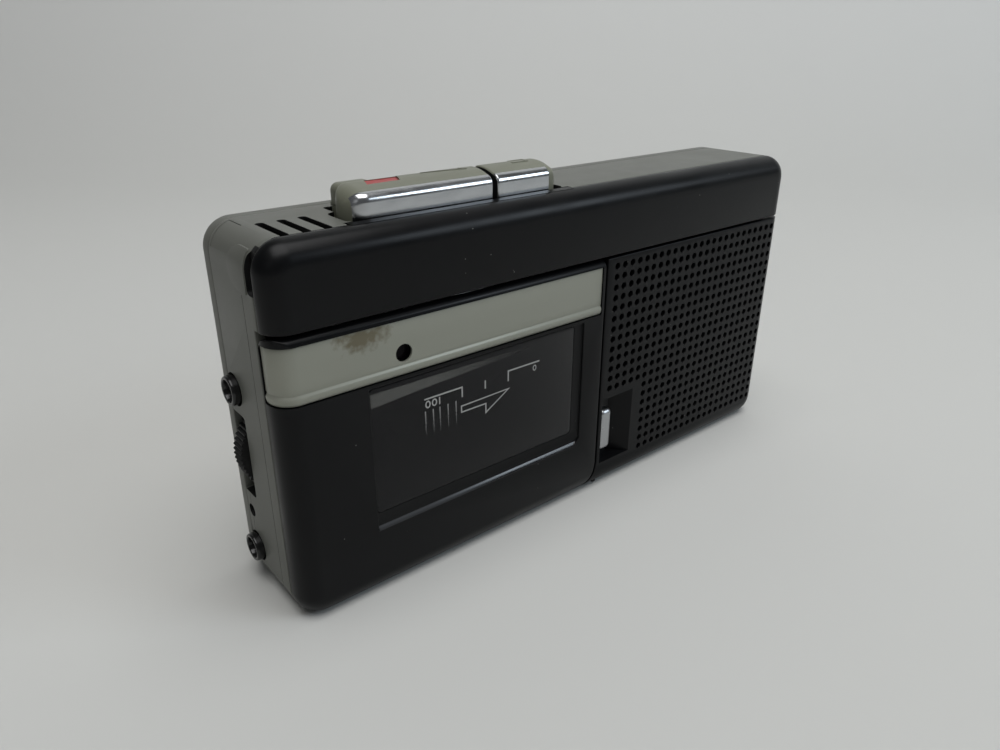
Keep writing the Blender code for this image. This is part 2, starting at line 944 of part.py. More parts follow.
def strip_pocket():
    # What stands proud of the strip's seat in the lid.
    pocket = strip_zone("strip_pocket", strip_bottom, strip_top, part_gap, strip_wrap_depth)
    cut(pocket, case_block("strip_seat", strip_recess + strip_thickness + part_gap))
    return pocket


def lid_strip(looks):
    made = case_block("lid_strip", strip_recess, looks["silver"])
    cut(made, case_block("strip_hollow", strip_recess + strip_thickness))
    cut(made, strip_zone("strip_area", strip_bottom, strip_top, 0, strip_wrap_depth), "INTERSECT")
    bead = case_block("strip_bead", 0)
    cut(bead, case_block("bead_hollow", strip_recess + strip_thickness / 2))
    zone = strip_zone("bead_zone", strip_bottom, strip_bottom + bead_height, 0, strip_wrap_depth)
    cut(bead, zone, "INTERSECT")
    cut(made, bead, "UNION")
    cut(made, lamp_rod("lamp_hole_strip", part_gap, -cut_overrun, cut_overrun))
    made.data.transform(Matrix.Translation((0, -hinge_y, -hinge_z)))
    made.location = (0, hinge_y, hinge_z)
    return made


def lamp_rod(name, grow, low, high, material=None, origin=None):
    x = left_x + lamp_left_inset
    z = strip_top - lamp_drop
    start = (x, depth(high), z)
    end = (x, depth(low), z)
    return rod(name, start, end, lamp_radius + grow, small_sides, material, origin)


def lid_parts(looks):
    hinge = (0, hinge_y, hinge_z)
    window = window_opening("lid_window", part_gap, 0)
    reassign(window, looks["smoke"], hinge)
    lens_back = lamp_sink + lamp_thickness
    lamp_rod("lamp_lens", 0, lamp_sink, lens_back, looks["lamp"], hinge)
    start = (hinge_ears()[0][0], hinge_y, hinge_z)
    end = (hinge_ears()[-1][1], hinge_y, hinge_z)
    rod("lid_hinge_pin", start, end, hinge_pin_radius, bore_sides, looks["steel"])


def reassign(made, material, origin):
    # Turns a cutter's shape into a visible piece with its origin on a joint.
    tool_collection.objects.unlink(made)
    case_collection.objects.link(made)
    made.hide_render = False
    made.display_type = "TEXTURED"
    made.data.materials.append(material)
    made.data.transform(Matrix.Translation(-Vector(origin)))
    made.location = origin


def release_slider(looks):
    x, z = slider_centre()
    thumb_back = depth(recess_depth - part_gap)
    made = box(
        "release_slider",
        (x - slider_width / 2, depth(slider_front_inset), z - slider_height / 2),
        (x + slider_width / 2, thumb_back, z + slider_height / 2),
        looks["silver"],
        edge=slider_edge,
    )
    foot_front = depth(recess_depth + recess_floor + part_gap)
    foot_bottom = catch_tab_height + catch_tab_thickness + catch_lip_rise + part_gap
    stem = box(
        "slider_stem",
        (x - slider_stem_width / 2, thumb_back - slider_edge, z - slider_stem_height / 2),
        (x + slider_stem_width / 2, foot_front + slider_foot_thickness / 2, z + slider_stem_height / 2),
    )
    foot = box(
        "slider_foot",
        (lid_right - catch_tab_inset - catch_tab_width, foot_front, foot_bottom),
        (x + slider_width / 2, foot_front + slider_foot_thickness, foot_bottom + slider_foot_height),
    )
    cut(made, stem, "UNION")
    cut(made, foot, "UNION")
    made.data.transform(Matrix.Translation((-x, 0, -z)))
    made.location = (x, 0, z)
    return made


def key(name, span, round_left, round_right, looks):
    # A cap with a sloping top and an outer end rounded both ways, on a flat stem.
    low_x, high_x = span
    front = key_front_y()
    rear = front + key_width
    left_radius = key_end_radius if round_left else 0
    right_radius = key_end_radius if round_right else 0
    base = body_height - key_skirt
    bm = bmesh.new()
    low = (low_x, base)
    high = (high_x, body_height + key_front_rise)
    outline = rounded_outline(low, high, (0, 0, right_radius, left_radius), corner_steps)
    face = bm.faces.new([bm.verts.new((x, front, z)) for x, z in outline])
    pushed = bmesh.ops.extrude_face_region(bm, geom=[face])
    rear_verts = [item for item in pushed["geom"] if isinstance(item, bmesh.types.BMVert)]
    climb_share = (key_rear_rise + key_skirt) / (key_front_rise + key_skirt)
    for vert in rear_verts:
        vert.co = (vert.co.x, rear, base + (vert.co.z - base) * climb_share)
    rim = [edge for edge in bm.edges if is_key_rim(edge, base)]
    bmesh.ops.bevel(bm, geom=rim, offset=key_edge_radius, segments=2, profile=0.5, affect="EDGES")
    made = add_object(name, mesh_from(bm, name), looks["chrome"])
    left_plan = key_plan_radius if round_left else 0
    right_plan = key_plan_radius if round_right else 0
    radii = (left_plan, right_plan, right_plan, left_plan)
    plan = rounded_outline((low_x, front), (high_x, rear), radii, corner_steps)
    reach = 2 * (key_rear_rise + key_skirt)
    cut(made, plate(name + "_plan", plan, reach, facing_up(body_height)), "INTERSECT")
    centre_x = (low_x + high_x) / 2
    stem_bottom = head_slide_span()[3] + part_gap
    stem_y = deck_front_y() - part_gap - head_slide_thickness / 2
    stem = box(
        name + "_stem",
        (centre_x - key_stem_length / 2, stem_y - key_stem_thickness / 2, stem_bottom),
        (centre_x + key_stem_length / 2, stem_y + key_stem_thickness / 2, base + key_skirt / 2),
    )
    cut(made, stem, "UNION")
    place = (centre_x, (front + rear) / 2, body_height)
    made.data.transform(Matrix.Translation(-Vector(place)))
    made.location = place
    return made


def is_key_rim(edge, base):
    # The edges round the front and rear faces, other than those at the foot.
    first, second = (vert.co for vert in edge.verts)
    level = abs(first.y - second.y) < part_gap / 10
    foot = max(abs(first.z - base), abs(second.z - base)) < part_gap / 10
    return level and not foot


def record_button(looks):
    low_x, high_x = record_button_span()
    front = record_button_front()
    place = ((low_x + high_x) / 2, front + record_button_width / 2, body_height)
    made = box(
        "record_button",
        (low_x, front, body_height - key_skirt - record_stem_length / 2),
        (high_x, front + record_button_width, body_height + record_button_rise),
        looks["chrome"],
        place,
    )
    bevel = made.modifiers.new("soft_edges", "BEVEL")
    bevel.width = button_edge_radius
    bevel.segments = 2
    bevel.limit_method = "ANGLE"
    return made


def microphone(looks):
    x = mic_slot_x((mic_slot_count - 1) / 2)
    y = depth(front_edge_radius + case_wall / 2 + mic_slot_length / 2)
    top = top_inner_z - part_gap
    half = mic_grommet_width / 2
    grommet = box(
        "microphone_grommet",
        (x - half, y - half, top - mic_grommet_height),
        (x + half, y + half, top),
        looks["rubber"],
    )
    seat = rod(
        "microphone_seat",
        (x, y, top - mic_capsule_height - part_gap),
        (x, y, top + cut_overrun),
        mic_capsule_radius + part_gap,
        small_sides,
    )
    cut(grommet, seat)
    rod(
        "microphone_capsule",
        (x, y, top - mic_capsule_height),
        (x, y, top),
        mic_capsule_radius,
        small_sides,
        looks["steel"],
    )


def socket(name, height, looks):
    # A threaded-ring jack: a barrel through the case wall on a square body.
    y = depth(socket_depth)
    inner = left_x + case_wall + part_gap
    barrel_end = inner + case_wall
    made = rod(
        name,
        (left_x - socket_stand_out, y, height),
        (barrel_end, y, height),
        socket_ring_radius,
        small_sides,
        looks["dark"],
    )
    half = socket_body_width / 2
    body = box(
        name + "_body",
        (inner, y - half, height - half),
        (inner + socket_body_length, y + half, height + half),
    )
    bore = rod(
        name + "_bore",
        (left_x - socket_stand_out - cut_overrun, y, height),
        (left_x + socket_bore_length, y, height),
        socket_bore_radius,
        small_sides,
    )
    cut(made, body, "UNION")
    cut(made, bore)
    return made


def volume_dial(looks):
    x, y, z = dial_centre()
    outline = []
    for number in range(2 * dial_teeth):
        angle = math.pi * number / dial_teeth
        radius = dial_radius - (dial_tooth_depth if number % 2 else 0)
        outline.append((x + radius * math.cos(angle), z + radius * math.sin(angle)))
    made = plate("volume_dial", outline, dial_thickness, facing_front(y), looks["dark"], (x, y, z))
    half = dial_thickness / 2 + cut_overrun
    cut(made, rod("dial_bore", (x, y - half, z), (x, y + half, z), dial_bore_radius, bore_sides))
    board_y = depth(board_depth) - part_gap
    pot_front = board_y - pot_height
    pot = rod("volume_pot", (x, pot_front, z), (x, board_y, z), pot_radius, small_sides, looks["dark"])
    shaft_start = (x, y - dial_thickness / 2, z)
    shaft_end = (x, board_y - pot_height / 2, z)
    shaft = rod("pot_shaft", shaft_start, shaft_end, pot_shaft_radius, bore_sides)
    cut(pot, shaft, "UNION")


def deck_front_y():
    return depth(deck_depth)


def hub_places():
    return (bay_centre_x - hub_spacing / 2, bay_centre_x + hub_spacing / 2)


def deck_plate(looks):
    low = (left_x + case_wall + deck_edge_gap, deck_front_y(), deck_bottom)
    high = (panel_left, deck_front_y() + deck_thickness, head_slide_span()[3] - deck_top_drop)
    made = box("deck_plate", low, high, looks["steel"])
    holes = [(x, hub_z, spindle_journal_radius) for x in hub_places()]
    holes.append((capstan_x, capstan_z, capstan_radius))
    pivot_x, pivot_z = pinch_pivot()
    holes.append((pivot_x, pivot_z, pinch_pin_radius))
    for number, (x, z, radius) in enumerate(holes):
        start = (x, deck_front_y() - cut_overrun, z)
        end = (x, deck_front_y() + deck_thickness + cut_overrun, z)
        cut(made, rod(f"deck_hole_{number + 1}", start, end, radius + bearing_clearance, bore_sides))
    return made


def cassette_well(looks):
    # Two plastic walls that locate the cassette, joined at their corner.
    left = bay_centre_x - cassette_length / 2 - bay_clearance
    right = lid_right - catch_tab_inset - catch_tab_width - part_gap
    bottom = bay_bottom - part_gap
    outline = [
        (left - well_wall, bottom - well_wall),
        (right, bottom - well_wall),
        (right, bottom),
        (left, bottom),
        (left, bay_top),
        (left - well_wall, bay_top),
    ]
    front = depth(well_front_depth)
    back = deck_front_y() - part_gap
    plate("cassette_well", outline, back - front, facing_front((front + back) / 2), looks["dark"])


def spindle(name, x, looks):
    # A flange and a finned shaft in front of the deck, with a journal through it.
    flange_back = deck_front_y() - part_gap
    flange_front = flange_back - spindle_flange_thickness
    tip = depth(spindle_tip_depth)
    origin = (x, deck_front_y(), hub_z)
    start = (x, flange_back, hub_z)
    end = (x, flange_front, hub_z)
    made = rod(name, start, end, spindle_flange_radius, round_sides, looks["white"])
    shaft = rod(
        name + "_shaft",
        (x, flange_back - spindle_flange_thickness / 2, hub_z),
        (x, tip, hub_z),
        spindle_radius,
        small_sides,
    )
    journal = rod(
        name + "_journal",
        (x, flange_front + spindle_flange_thickness / 2, hub_z),
        (x, deck_front_y() + spindle_journal_length, hub_z),
        spindle_journal_radius,
        bore_sides,
    )
    cut(made, shaft, "UNION")
    cut(made, journal, "UNION")
    for number in range(spindle_fin_count):
        angle = 2 * math.pi * number / spindle_fin_count
        fin = box(
            f"{name}_fin_{number + 1}",
            (0, tip + spindle_fin_width, -spindle_fin_width / 2),
            (spindle_fin_reach, flange_back - spindle_flange_thickness / 2, spindle_fin_width / 2),
        )
        fin.data.transform(Matrix.Rotation(angle, 4, "Y"))
        fin.data.transform(Matrix.Translation((x, 0, hub_z)))
        cut(made, fin, "UNION")
    made.data.transform(Matrix.Translation(-Vector(origin)))
    made.location = origin


def capstan_and_flywheel(looks):
    rear = depth(drive_rear_depth)
    origin = (capstan_x, rear, capstan_z)
    shaft = rod(
        "capstan_shaft",
        (capstan_x, rear, capstan_z),
        (capstan_x, depth(capstan_tip_depth), capstan_z),
        capstan_radius,
        small_sides,
        looks["steel"],
        origin,
    )
    smooth(shaft)
    bore = capstan_radius + bearing_clearance
    hub_height = rear - (deck_front_y() + deck_thickness + part_gap)
    middle = flywheel_thickness / 2
    profile = [
        (bore, 0),
        (bore, hub_height),
        (flywheel_hub_radius, hub_height),
        (flywheel_hub_radius, flywheel_thickness),
        (flywheel_radius, flywheel_thickness),
        (flywheel_radius - flywheel_groove, middle),
        (flywheel_radius, 0),
    ]
    turned("flywheel", profile, large_sides, axis_to_front(*origin), looks["brass"], closed=True)


def motor_place():
    return bay_centre_x - motor_offset, motor_height


def motor(looks):
    x, z = motor_place()
    front = deck_front_y() + deck_thickness + part_gap
    can_back = front + motor_length
    made = rod("motor", (x, can_back, z), (x, front, z), motor_radius, round_sides, looks["steel"])
    rear = depth(drive_rear_depth)
    shaft_end = (x, can_back - motor_length / 2, z)
    shaft = rod("motor_shaft", (x, rear, z), shaft_end, motor_shaft_radius, bore_sides)
    cut(made, shaft, "UNION")
    pulley_height = rear - can_back - part_gap
    middle = pulley_height / 2
    profile = [
        (pulley_bore_radius, 0),
        (pulley_bore_radius, pulley_height),
        (pulley_radius, pulley_height),
        (pulley_radius - flywheel_groove, middle),
        (pulley_radius, 0),
    ]
    turned("motor_pulley", profile, small_sides, axis_to_front(x, rear, z), looks["brass"], closed=True)


def belt_outline(grow):
    # The line around the two pulleys that an open belt follows, at a distance.
    x1, z1 = motor_place()
    x2, z2 = capstan_x, capstan_z
    near = pulley_radius + grow
    far = flywheel_radius + grow
    span = math.hypot(x2 - x1, z2 - z1)
    heading = math.atan2(z2 - z1, x2 - x1)
    lean = math.acos((near - far) / span)
    outline = []
    for step in range(small_sides + 1):
        angle = heading + lean + (2 * math.pi - 2 * lean) * step / small_sides
        outline.append((x1 + near * math.cos(angle), z1 + near * math.sin(angle)))
    for step in range(round_sides + 1):
        angle = heading - lean + 2 * lean * step / round_sides
        outline.append((x2 + far * math.cos(angle), z2 + far * math.sin(angle)))
    return outline


def drive_belt(looks):
    centre = depth(drive_rear_depth) - flywheel_thickness / 2
    outer = belt_outline(part_gap + belt_thickness)
    made = plate("drive_belt", outer, belt_width, facing_front(centre), looks["rubber"])
    inner = plate("belt_inside", belt_outline(part_gap), belt_width + 2 * cut_overrun, facing_front(centre))
    cut(made, inner)


def head_slide_span():
    left = bay_centre_x - head_slide_left
    bottom = bay_top + head_tip_gap
    return left, left + head_slide_length, bottom, bottom + head_slide_height


def heads(looks):
    left, right, bottom, top = head_slide_span()
    back = deck_front_y() - part_gap
    front = back - head_slide_thickness
    origin = (bay_centre_x, back, bottom)
    box("head_slide", (left, front, bottom), (right, back, top), looks["steel"], origin)
    face = front - part_gap
    tip = bay_top + head_tip_gap
    blocks = (
        ("record_play_head", bay_centre_x, head_width, head_height),
        ("erase_head", bay_centre_x - erase_head_offset, erase_head_width, erase_head_height),
    )
    for name, x, width, height in blocks:
        low = (x - width / 2, depth(head_front_depth), tip)
        high = (x + width / 2, face, tip + height)
        made = box(name, low, high, looks["steel"], origin)
        bevel = made.modifiers.new("rounded_face", "BEVEL")
        bevel.width = head_edge
        bevel.segments = 2
        bevel.limit_method = "ANGLE"


def pinch_pivot():
    roller_x, roller_z = pinch_roller_place()
    return roller_x + pinch_arm_reach, roller_z + pinch_pivot_rise


def pinch_roller_place():
    return capstan_x, capstan_z + pinch_lift


def pinch_parts(looks):
    x, z = pinch_roller_place()
    pivot_x, pivot_z = pinch_pivot()
    back = deck_front_y() - part_gap
    front = back - pinch_arm_thickness
    centre = (x + pivot_x) / 2
    half = pinch_arm_width / 2
    middle = (z + pivot_z) / 2
    low = (x - half, middle - half)
    high = (pivot_x + half, middle + half)
    outline = rounded_outline(low, high, (half, half, half, half), corner_steps - 1)
    origin = (pivot_x, back, pivot_z)
    facing = facing_front((front + back) / 2)
    arm = plate("pinch_arm", outline, pinch_arm_thickness, facing, looks["steel"], origin)
    roller_back = front - part_gap
    roller_front = roller_back - pinch_roller_length
    pin_start = (x, back - pinch_arm_thickness / 2, z)
    pin = rod("roller_pin", pin_start, (x, roller_front, z), pinch_pin_radius, bore_sides)
    pivot = rod(
        "arm_pivot",
        (pivot_x, front + pinch_arm_thickness / 2, pivot_z),
        (pivot_x, deck_front_y() + deck_thickness + part_gap, pivot_z),
        pinch_pin_radius,
        bore_sides,
    )
    cut(arm, pin, "UNION")
    cut(arm, pivot, "UNION")
    profile = [
        (pinch_roller_bore, 0),
        (pinch_roller_bore, pinch_roller_length),
        (pinch_roller_radius, pinch_roller_length),
        (pinch_roller_radius, 0),
    ]
    place = axis_to_front(x, roller_back, z)
    turned("pinch_roller", profile, round_sides, place, looks["rubber"], closed=True)


def speaker_centre():
    return panel_left + (right_x - panel_left) * speaker_along_share, body_height * speaker_up_share


def speaker_radius():
    # As large as the thumb recess and the foot of the case let it be.
    x, z = speaker_centre()
    beside_recess = x - recess_left() - recess_width_top - recess_rim - speaker_recess_gap
    above_foot = z - case_wall - speaker_foot_gap
    return min(beside_recess, above_foot)


def speaker(looks):
    x, z = speaker_centre()
    place = axis_to_front(x, depth(speaker_front_depth), z)
    radius = speaker_radius()
    magnet_radius = radius * magnet_share
    dust_cap_radius = radius * dust_cap_share
    inner = radius - speaker_flange
    floor = -speaker_flange_thickness - speaker_basket_depth
    frame = [
        (radius, 0),
        (radius, -speaker_flange_thickness),
        (inner + basket_wall, -speaker_flange_thickness),
        (magnet_radius + basket_wall, floor),
        (magnet_radius - speaker_flange, floor),
        (magnet_radius - speaker_flange, floor + basket_wall),
        (magnet_radius, floor + basket_wall),
        (inner, -speaker_flange_thickness),
        (inner, 0),
    ]
    turned("speaker_frame", frame, large_sides, place, looks["steel"], closed=True)
    rim = inner - part_gap
    base = -cone_depth - cone_thickness
    cone = [
        (0, base + dust_cap_rise + cone_thickness),
        (dust_cap_radius / 2, base + dust_cap_rise),
        (dust_cap_radius, base + cone_thickness),
        (rim - speaker_flange, -cone_thickness),
        (rim - speaker_flange / 2, cone_roll - cone_thickness),
        (rim, -cone_thickness),
        (rim, -2 * cone_thickness),
        (rim - speaker_flange, -2 * cone_thickness),
        (dust_cap_radius, base),
        (0, base),
    ]
    turned("speaker_cone", cone, round_sides, place, looks["paper"])
    magnet_top = floor - part_gap
    x, y, z = place.translation
    rod(
        "speaker_magnet",
        (x, y - magnet_top, z),
        (x, y - magnet_top + magnet_thickness, z),
        magnet_radius,
        round_sides,
        looks["magnet"],
    )


def dust_felt(looks):
    left = panel_left + panel_rib_width + part_gap
    right = right_x - case_wall - felt_margin
    bottom = case_wall + felt_margin
    top = panel_top
    step_x = recess_left() + recess_width_top + recess_rim + part_gap
    step_z = recess_bottom + recess_height + recess_rim + part_gap
    outline = [
        (left, step_z),
        (step_x, step_z),
        (step_x, bottom),
        (right, bottom),
        (right, top),
        (left, top),
    ]
    centre = depth(case_wall + part_gap + felt_thickness / 2)
    plate("dust_felt", outline, felt_thickness, facing_front(centre), looks["paper"])


def tray_box():
    low = (panel_left + tray_left_gap, depth(tray_front_depth + tray_wall), tray_bottom)
    high = (right_x - tray_right_inset, back_y, tray_bottom + tray_height)
    return low, high


def cover_zone(name, gap):
    # The part of the rear shell that slides off as the battery cover.
    low, high = tray_box()
    return box(
        name,
        (low[0] + gap, back_y - cover_lip_depth + gap, low[2] + gap),
        (right_x + cut_overrun, back_y + cut_overrun, high[2] - gap),
    )


def rear_cover(looks, hollow, holes):
    made = case_block("rear_cover", 0, looks["grey"])
    cut(made, hollow)
    zone = box(
        "rear_zone",
        (left_x - cut_overrun, rear_seam_y, -cut_overrun),
        (right_x + cut_overrun, back_y + cut_overrun, body_height + cut_overrun),
    )
    cut(made, zone, "INTERSECT")
    low, high = tray_box()
    outer = tray_wall + tray_ledge
    tray = box(
        "battery_tray",
        (low[0] - tray_wall, low[1] - tray_wall, low[2] - outer),
        (right_x - case_wall - part_gap, back_y - case_wall / 2, high[2] + outer),
    )
    cut(made, tray, "UNION")
    cavity = box("tray_cavity", low, (high[0], back_y + cut_overrun, high[2]))
    cut(made, cavity)
    cut(made, cover_zone("cover_opening", 0))
    divider_z = (low[2] + high[2]) / 2
    divider = box(
        "cell_divider",
        (low[0] - tray_wall / 2, low[1] - tray_wall / 2, divider_z - cell_divider / 2),
        (high[0] - contact_height / 2, low[1] + cell_divider_height, divider_z + cell_divider / 2),
    )
    cut(made, divider, "UNION")
    channel_back = back_y - case_wall
    channel_front = channel_back - cover_tongue_thickness - 2 * part_gap
    channel = box(
        "tongue_channel",
        (low[0], channel_front, low[2] - tray_ledge),
        (right_x + cut_overrun, channel_back, high[2] + tray_ledge),
    )
    cut(made, channel)
    add_screw_posts(made, rear_seam_y, back_y - case_wall / 2)
    for number, (x, z) in enumerate(screw_places()):
        start = (x, back_y - screw_sink - screw_head_thickness - screw_clearance, z)
        end = (x, back_y + cut_overrun, z)
        seat = rod(f"screw_seat_{number + 1}", start, end, screw_head_radius + screw_clearance, small_sides)
        cut(made, seat)
    for hole in holes:
        cut(made, hole)
    return made


def battery_cover(looks):
    low, high = tray_box()
    made = case_block("battery_cover", 0, looks["grey"])
    cut(made, case_block("cover_hollow", case_wall))
    cut(made, cover_zone("cover_area", part_gap), "INTERSECT")
    tongue_back = back_y - case_wall - part_gap
    tongue_front = tongue_back - cover_tongue_thickness
    for number in range(2):
        for side in (-1, 1):
            edge_z = low[2] + part_gap if side < 0 else high[2] - part_gap
            reach = edge_z + side * (cover_tongue_reach + part_gap)
            root = edge_z - side * cover_tongue_length / 2
            start_x = low[0] + cover_tongue_inset
            if number:
                start_x = high[0] - cover_tongue_inset - cover_tongue_length
            # A foot joins each tongue to the back of the cover plate.
            tongue = box(
                f"cover_tongue_{number}_{side + 1}",
                (start_x, tongue_front, min(root, reach)),
                (start_x + cover_tongue_length, tongue_back, max(root, reach)),
            )
            foot_edge = edge_z - side * cover_tongue_length / 4
            foot = box(
                f"cover_foot_{number}_{side + 1}",
                (start_x, tongue_front, min(root, foot_edge)),
                (start_x + cover_tongue_length, back_y - case_wall / 2, max(root, foot_edge)),
            )
            cut(made, tongue, "UNION")
            cut(made, foot, "UNION")
    centre_z = (low[2] + high[2]) / 2
    for number in range(cover_grip_count):
        x = low[0] + cover_tongue_inset + number * cover_grip_pitch
        groove = box(
            f"cover_grip_{number + 1}",
            (x, back_y - cover_grip_depth, centre_z - cover_grip_length / 2),
            (x + cover_grip_width, back_y + cut_overrun, centre_z + cover_grip_length / 2),
        )
        cut(made, groove)
    place = Vector((low[0], back_y, centre_z))
    made.data.transform(Matrix.Translation(-place))
    made.location = place
    return made


def battery_contacts(looks):
    # Bent leaf contacts at the ends of the two cells.
    low, high = tray_box()
    quarter = (high[2] - low[2]) / 4
    middle_y = (low[1] + back_y - case_wall) / 2
    ends = (
        ("battery_contact_minus", low[0] + part_gap, 1, low[2] + quarter),
        ("battery_contact_plus", low[0] + part_gap, 1, high[2] - quarter),
    )
    for name, wall_x, side, z in ends:
        leaf(name, wall_x, side, middle_y, z, contact_width, looks["steel"])
    middle_z = (low[2] + high[2]) / 2
    link_width = 2 * quarter + contact_width
    leaf("battery_contact_link", high[0] - part_gap, -1, middle_y, middle_z, link_width, looks["steel"])


def leaf(name, wall_x, side, centre_y, centre_z, width, material):
    half = contact_height / 2
    outline = [
        (wall_x, centre_y - half),
        (wall_x + side * contact_thickness, centre_y - half),
        (wall_x + side * (contact_thickness + contact_bow), centre_y),
        (wall_x + side * contact_thickness, centre_y + half),
        (wall_x, centre_y + half),
        (wall_x + side * contact_bow, centre_y),
    ]
    plate(name, outline, width, facing_up(centre_z), material)


def circuit_board(looks):
    front = depth(board_depth)
    left = left_x + case_wall + board_margin
    right = panel_left - board_right_gap
    top = body_height - board_top_gap
    box(
        "circuit_board",
        (left, front, board_bottom),
        (right, front + board_thickness, top),
        looks["board"],
    )
    chip_right = right - chip_right_inset
    chip_top = top - chip_drop
    box(
        "amplifier_chip",
        (chip_right - chip_length, front - part_gap - chip_thickness, chip_top - chip_width),
        (chip_right, front - part_gap, chip_top),
        looks["dark"],
    )
    x = chip_right - chip_length - capacitor_spacing
    rod(
        "capacitor",
        (x, front - part_gap, chip_top - capacitor_radius),
        (x, front - part_gap - capacitor_height, chip_top - capacitor_radius),
        capacitor_radius,
        small_sides,
        looks["dark"],
    )


def screw_places():
    low_z = screw_edge_inset
    high_z = body_height - screw_edge_inset
    return [
        (left_x + screw_left_inset_low, low_z),
        (left_x + screw_left_inset_high, high_z),
        (right_x - screw_right_inset, low_z),
        (right_x - screw_right_inset, high_z),
    ]


def case_screws(looks):
    for number, (x, z) in enumerate(screw_places()):
        head = back_y - screw_sink
        made = rod(
            f"case_screw_{number + 1}",
            (x, head - screw_head_thickness, z),
            (x, head, z),
            screw_head_radius,
            small_sides,
            looks["steel"],
        )
        shank = rod(
            f"screw_shank_{number + 1}",
            (x, head - screw_length, z),
            (x, head - screw_head_thickness / 2, z),
            screw_shank_radius,
            bore_sides,
        )
        slot = box(
            f"screw_slot_{number + 1}",
            (x - screw_slot_width / 2, head - screw_slot_depth, z - screw_head_radius - cut_overrun),
            (x + screw_slot_width / 2, head + cut_overrun, z + screw_head_radius + cut_overrun),
        )
        cut(made, shank, "UNION")
        cut(made, slot)


def build():
    clear_scene()
    looks = make_finishes()
    hollow = case_block("case_hollow", case_wall)
    bore = hinge_bore("hinge_bore", left_x + hinge_lug_width, lid_right - hinge_lug_width)
    holes = socket_holes()
    front_cabinet(looks, hollow, bore)
    middle_frame(looks, hollow, holes)
    rear_cover(looks, hollow, holes)
    speaker_grille(looks, hollow)
    cassette_lid(looks, bore)
    lid_strip(looks)
    lid_parts(looks)
    release_slider(looks)
    key("play_key", play_key_span(), True, False, looks)
    key("stop_key", stop_key_span(), False, True, looks)
    record_button(looks)
    microphone(looks)
    socket("upper_socket", upper_socket_height, looks)
    socket("lower_socket", lower_socket_height, looks)
    volume_dial(looks)
    deck_plate(looks)
    cassette_well(looks)
    for name, x in zip(("supply_spindle", "takeup_spindle"), hub_places()):
        spindle(name, x, looks)
    capstan_and_flywheel(looks)
    motor(looks)
    drive_belt(looks)
    heads(looks)
    pinch_parts(looks)
    speaker(looks)
    dust_felt(looks)
    battery_cover(looks)
    battery_contacts(looks)
    circuit_board(looks)
    case_screws(looks)


build()
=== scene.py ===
import math

import bmesh
import bpy
from mathutils import Matrix, Vector


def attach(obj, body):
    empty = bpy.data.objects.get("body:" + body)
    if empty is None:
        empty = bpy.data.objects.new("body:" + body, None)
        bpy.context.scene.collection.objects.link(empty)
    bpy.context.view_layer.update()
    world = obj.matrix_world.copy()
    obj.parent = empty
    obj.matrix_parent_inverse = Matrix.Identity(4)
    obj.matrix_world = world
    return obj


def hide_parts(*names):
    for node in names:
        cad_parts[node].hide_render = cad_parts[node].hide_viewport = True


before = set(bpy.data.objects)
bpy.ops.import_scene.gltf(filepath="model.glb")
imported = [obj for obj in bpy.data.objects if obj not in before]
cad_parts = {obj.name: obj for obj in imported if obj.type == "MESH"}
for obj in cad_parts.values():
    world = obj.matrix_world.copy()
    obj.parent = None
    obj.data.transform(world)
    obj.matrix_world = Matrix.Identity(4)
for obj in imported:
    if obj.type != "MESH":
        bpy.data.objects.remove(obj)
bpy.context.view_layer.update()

# Sizes are in millimetres and become metres when a piece is made
millimetre = 0.001

caseSize = {"length": 119.0, "depth": 22.3, "height": 60.7, "wall": 1.6}
caseSize |= {"cornerRadius": 4.5, "frontRadius": 3.6, "rearRadius": 2.4}
caseSize |= {"cornerSteps": 14, "frontSteps": 12, "rearSteps": 8}
# Where the shells of the case meet; the lid's right edge has a rounded foot
seams = {"bandBottom": 48.3, "bandBack": -7.55, "frameFront": -7.25, "frameFrontLow": -6.25, "frameBack": 7.05}
seams |= {"rearFront": 7.13, "lidTop": 47.7, "lidRight": 4.0, "frontBack": -6.55, "panelLeft": 4.4, "panelTop": 47.8}
seams |= {"edge": 0.16, "footRadius": 6.0, "footHeight": 6.3}
leftX = -caseSize["length"] / 2
rightX = caseSize["length"] / 2
frontY = -caseSize["depth"] / 2
backY = caseSize["depth"] / 2
topZ = caseSize["height"]
looks = {}


def say(text):
    print("stage:", text, flush=True)


def pick(sizes, *keys):
    return [sizes[key] for key in keys]


def pieceFrom(bm, name):
    bm.transform(Matrix.Scale(millimetre, 4))
    mesh = bpy.data.meshes.new(name)
    bm.to_mesh(mesh)
    bm.free()
    piece = bpy.data.objects.new(name, mesh)
    bpy.context.scene.collection.objects.link(piece)
    return piece


def bake(piece):
    graph = bpy.context.evaluated_depsgraph_get()
    finished = bpy.data.meshes.new_from_object(piece.evaluated_get(graph))
    piece.modifiers.clear()
    used = piece.data
    piece.data = finished
    bpy.data.meshes.remove(used)


def carveWith(piece, tool, operation="DIFFERENCE"):
    change = piece.modifiers.new("carve", "BOOLEAN")
    change.operation = operation
    change.solver = "EXACT"
    change.object = tool
    bake(piece)
    bpy.data.objects.remove(tool, do_unlink=True)


def carve(piece, bm, operation="DIFFERENCE"):
    carveWith(piece, pieceFrom(bm, "carvingTool"), operation)


def weld(piece, bm):
    carve(piece, bm, "UNION")


def thicken(piece, wall, edge, edgeSteps=3, angle=50):
    # Gives a surface its wall inwards and rounds the rims that this makes
    solid = piece.modifiers.new("wall", "SOLIDIFY")
    solid.thickness = wall * millimetre
    solid.offset = -1
    solid.use_even_offset = True
    if edge:
        soften(piece, edge, edgeSteps, angle)
    bake(piece)


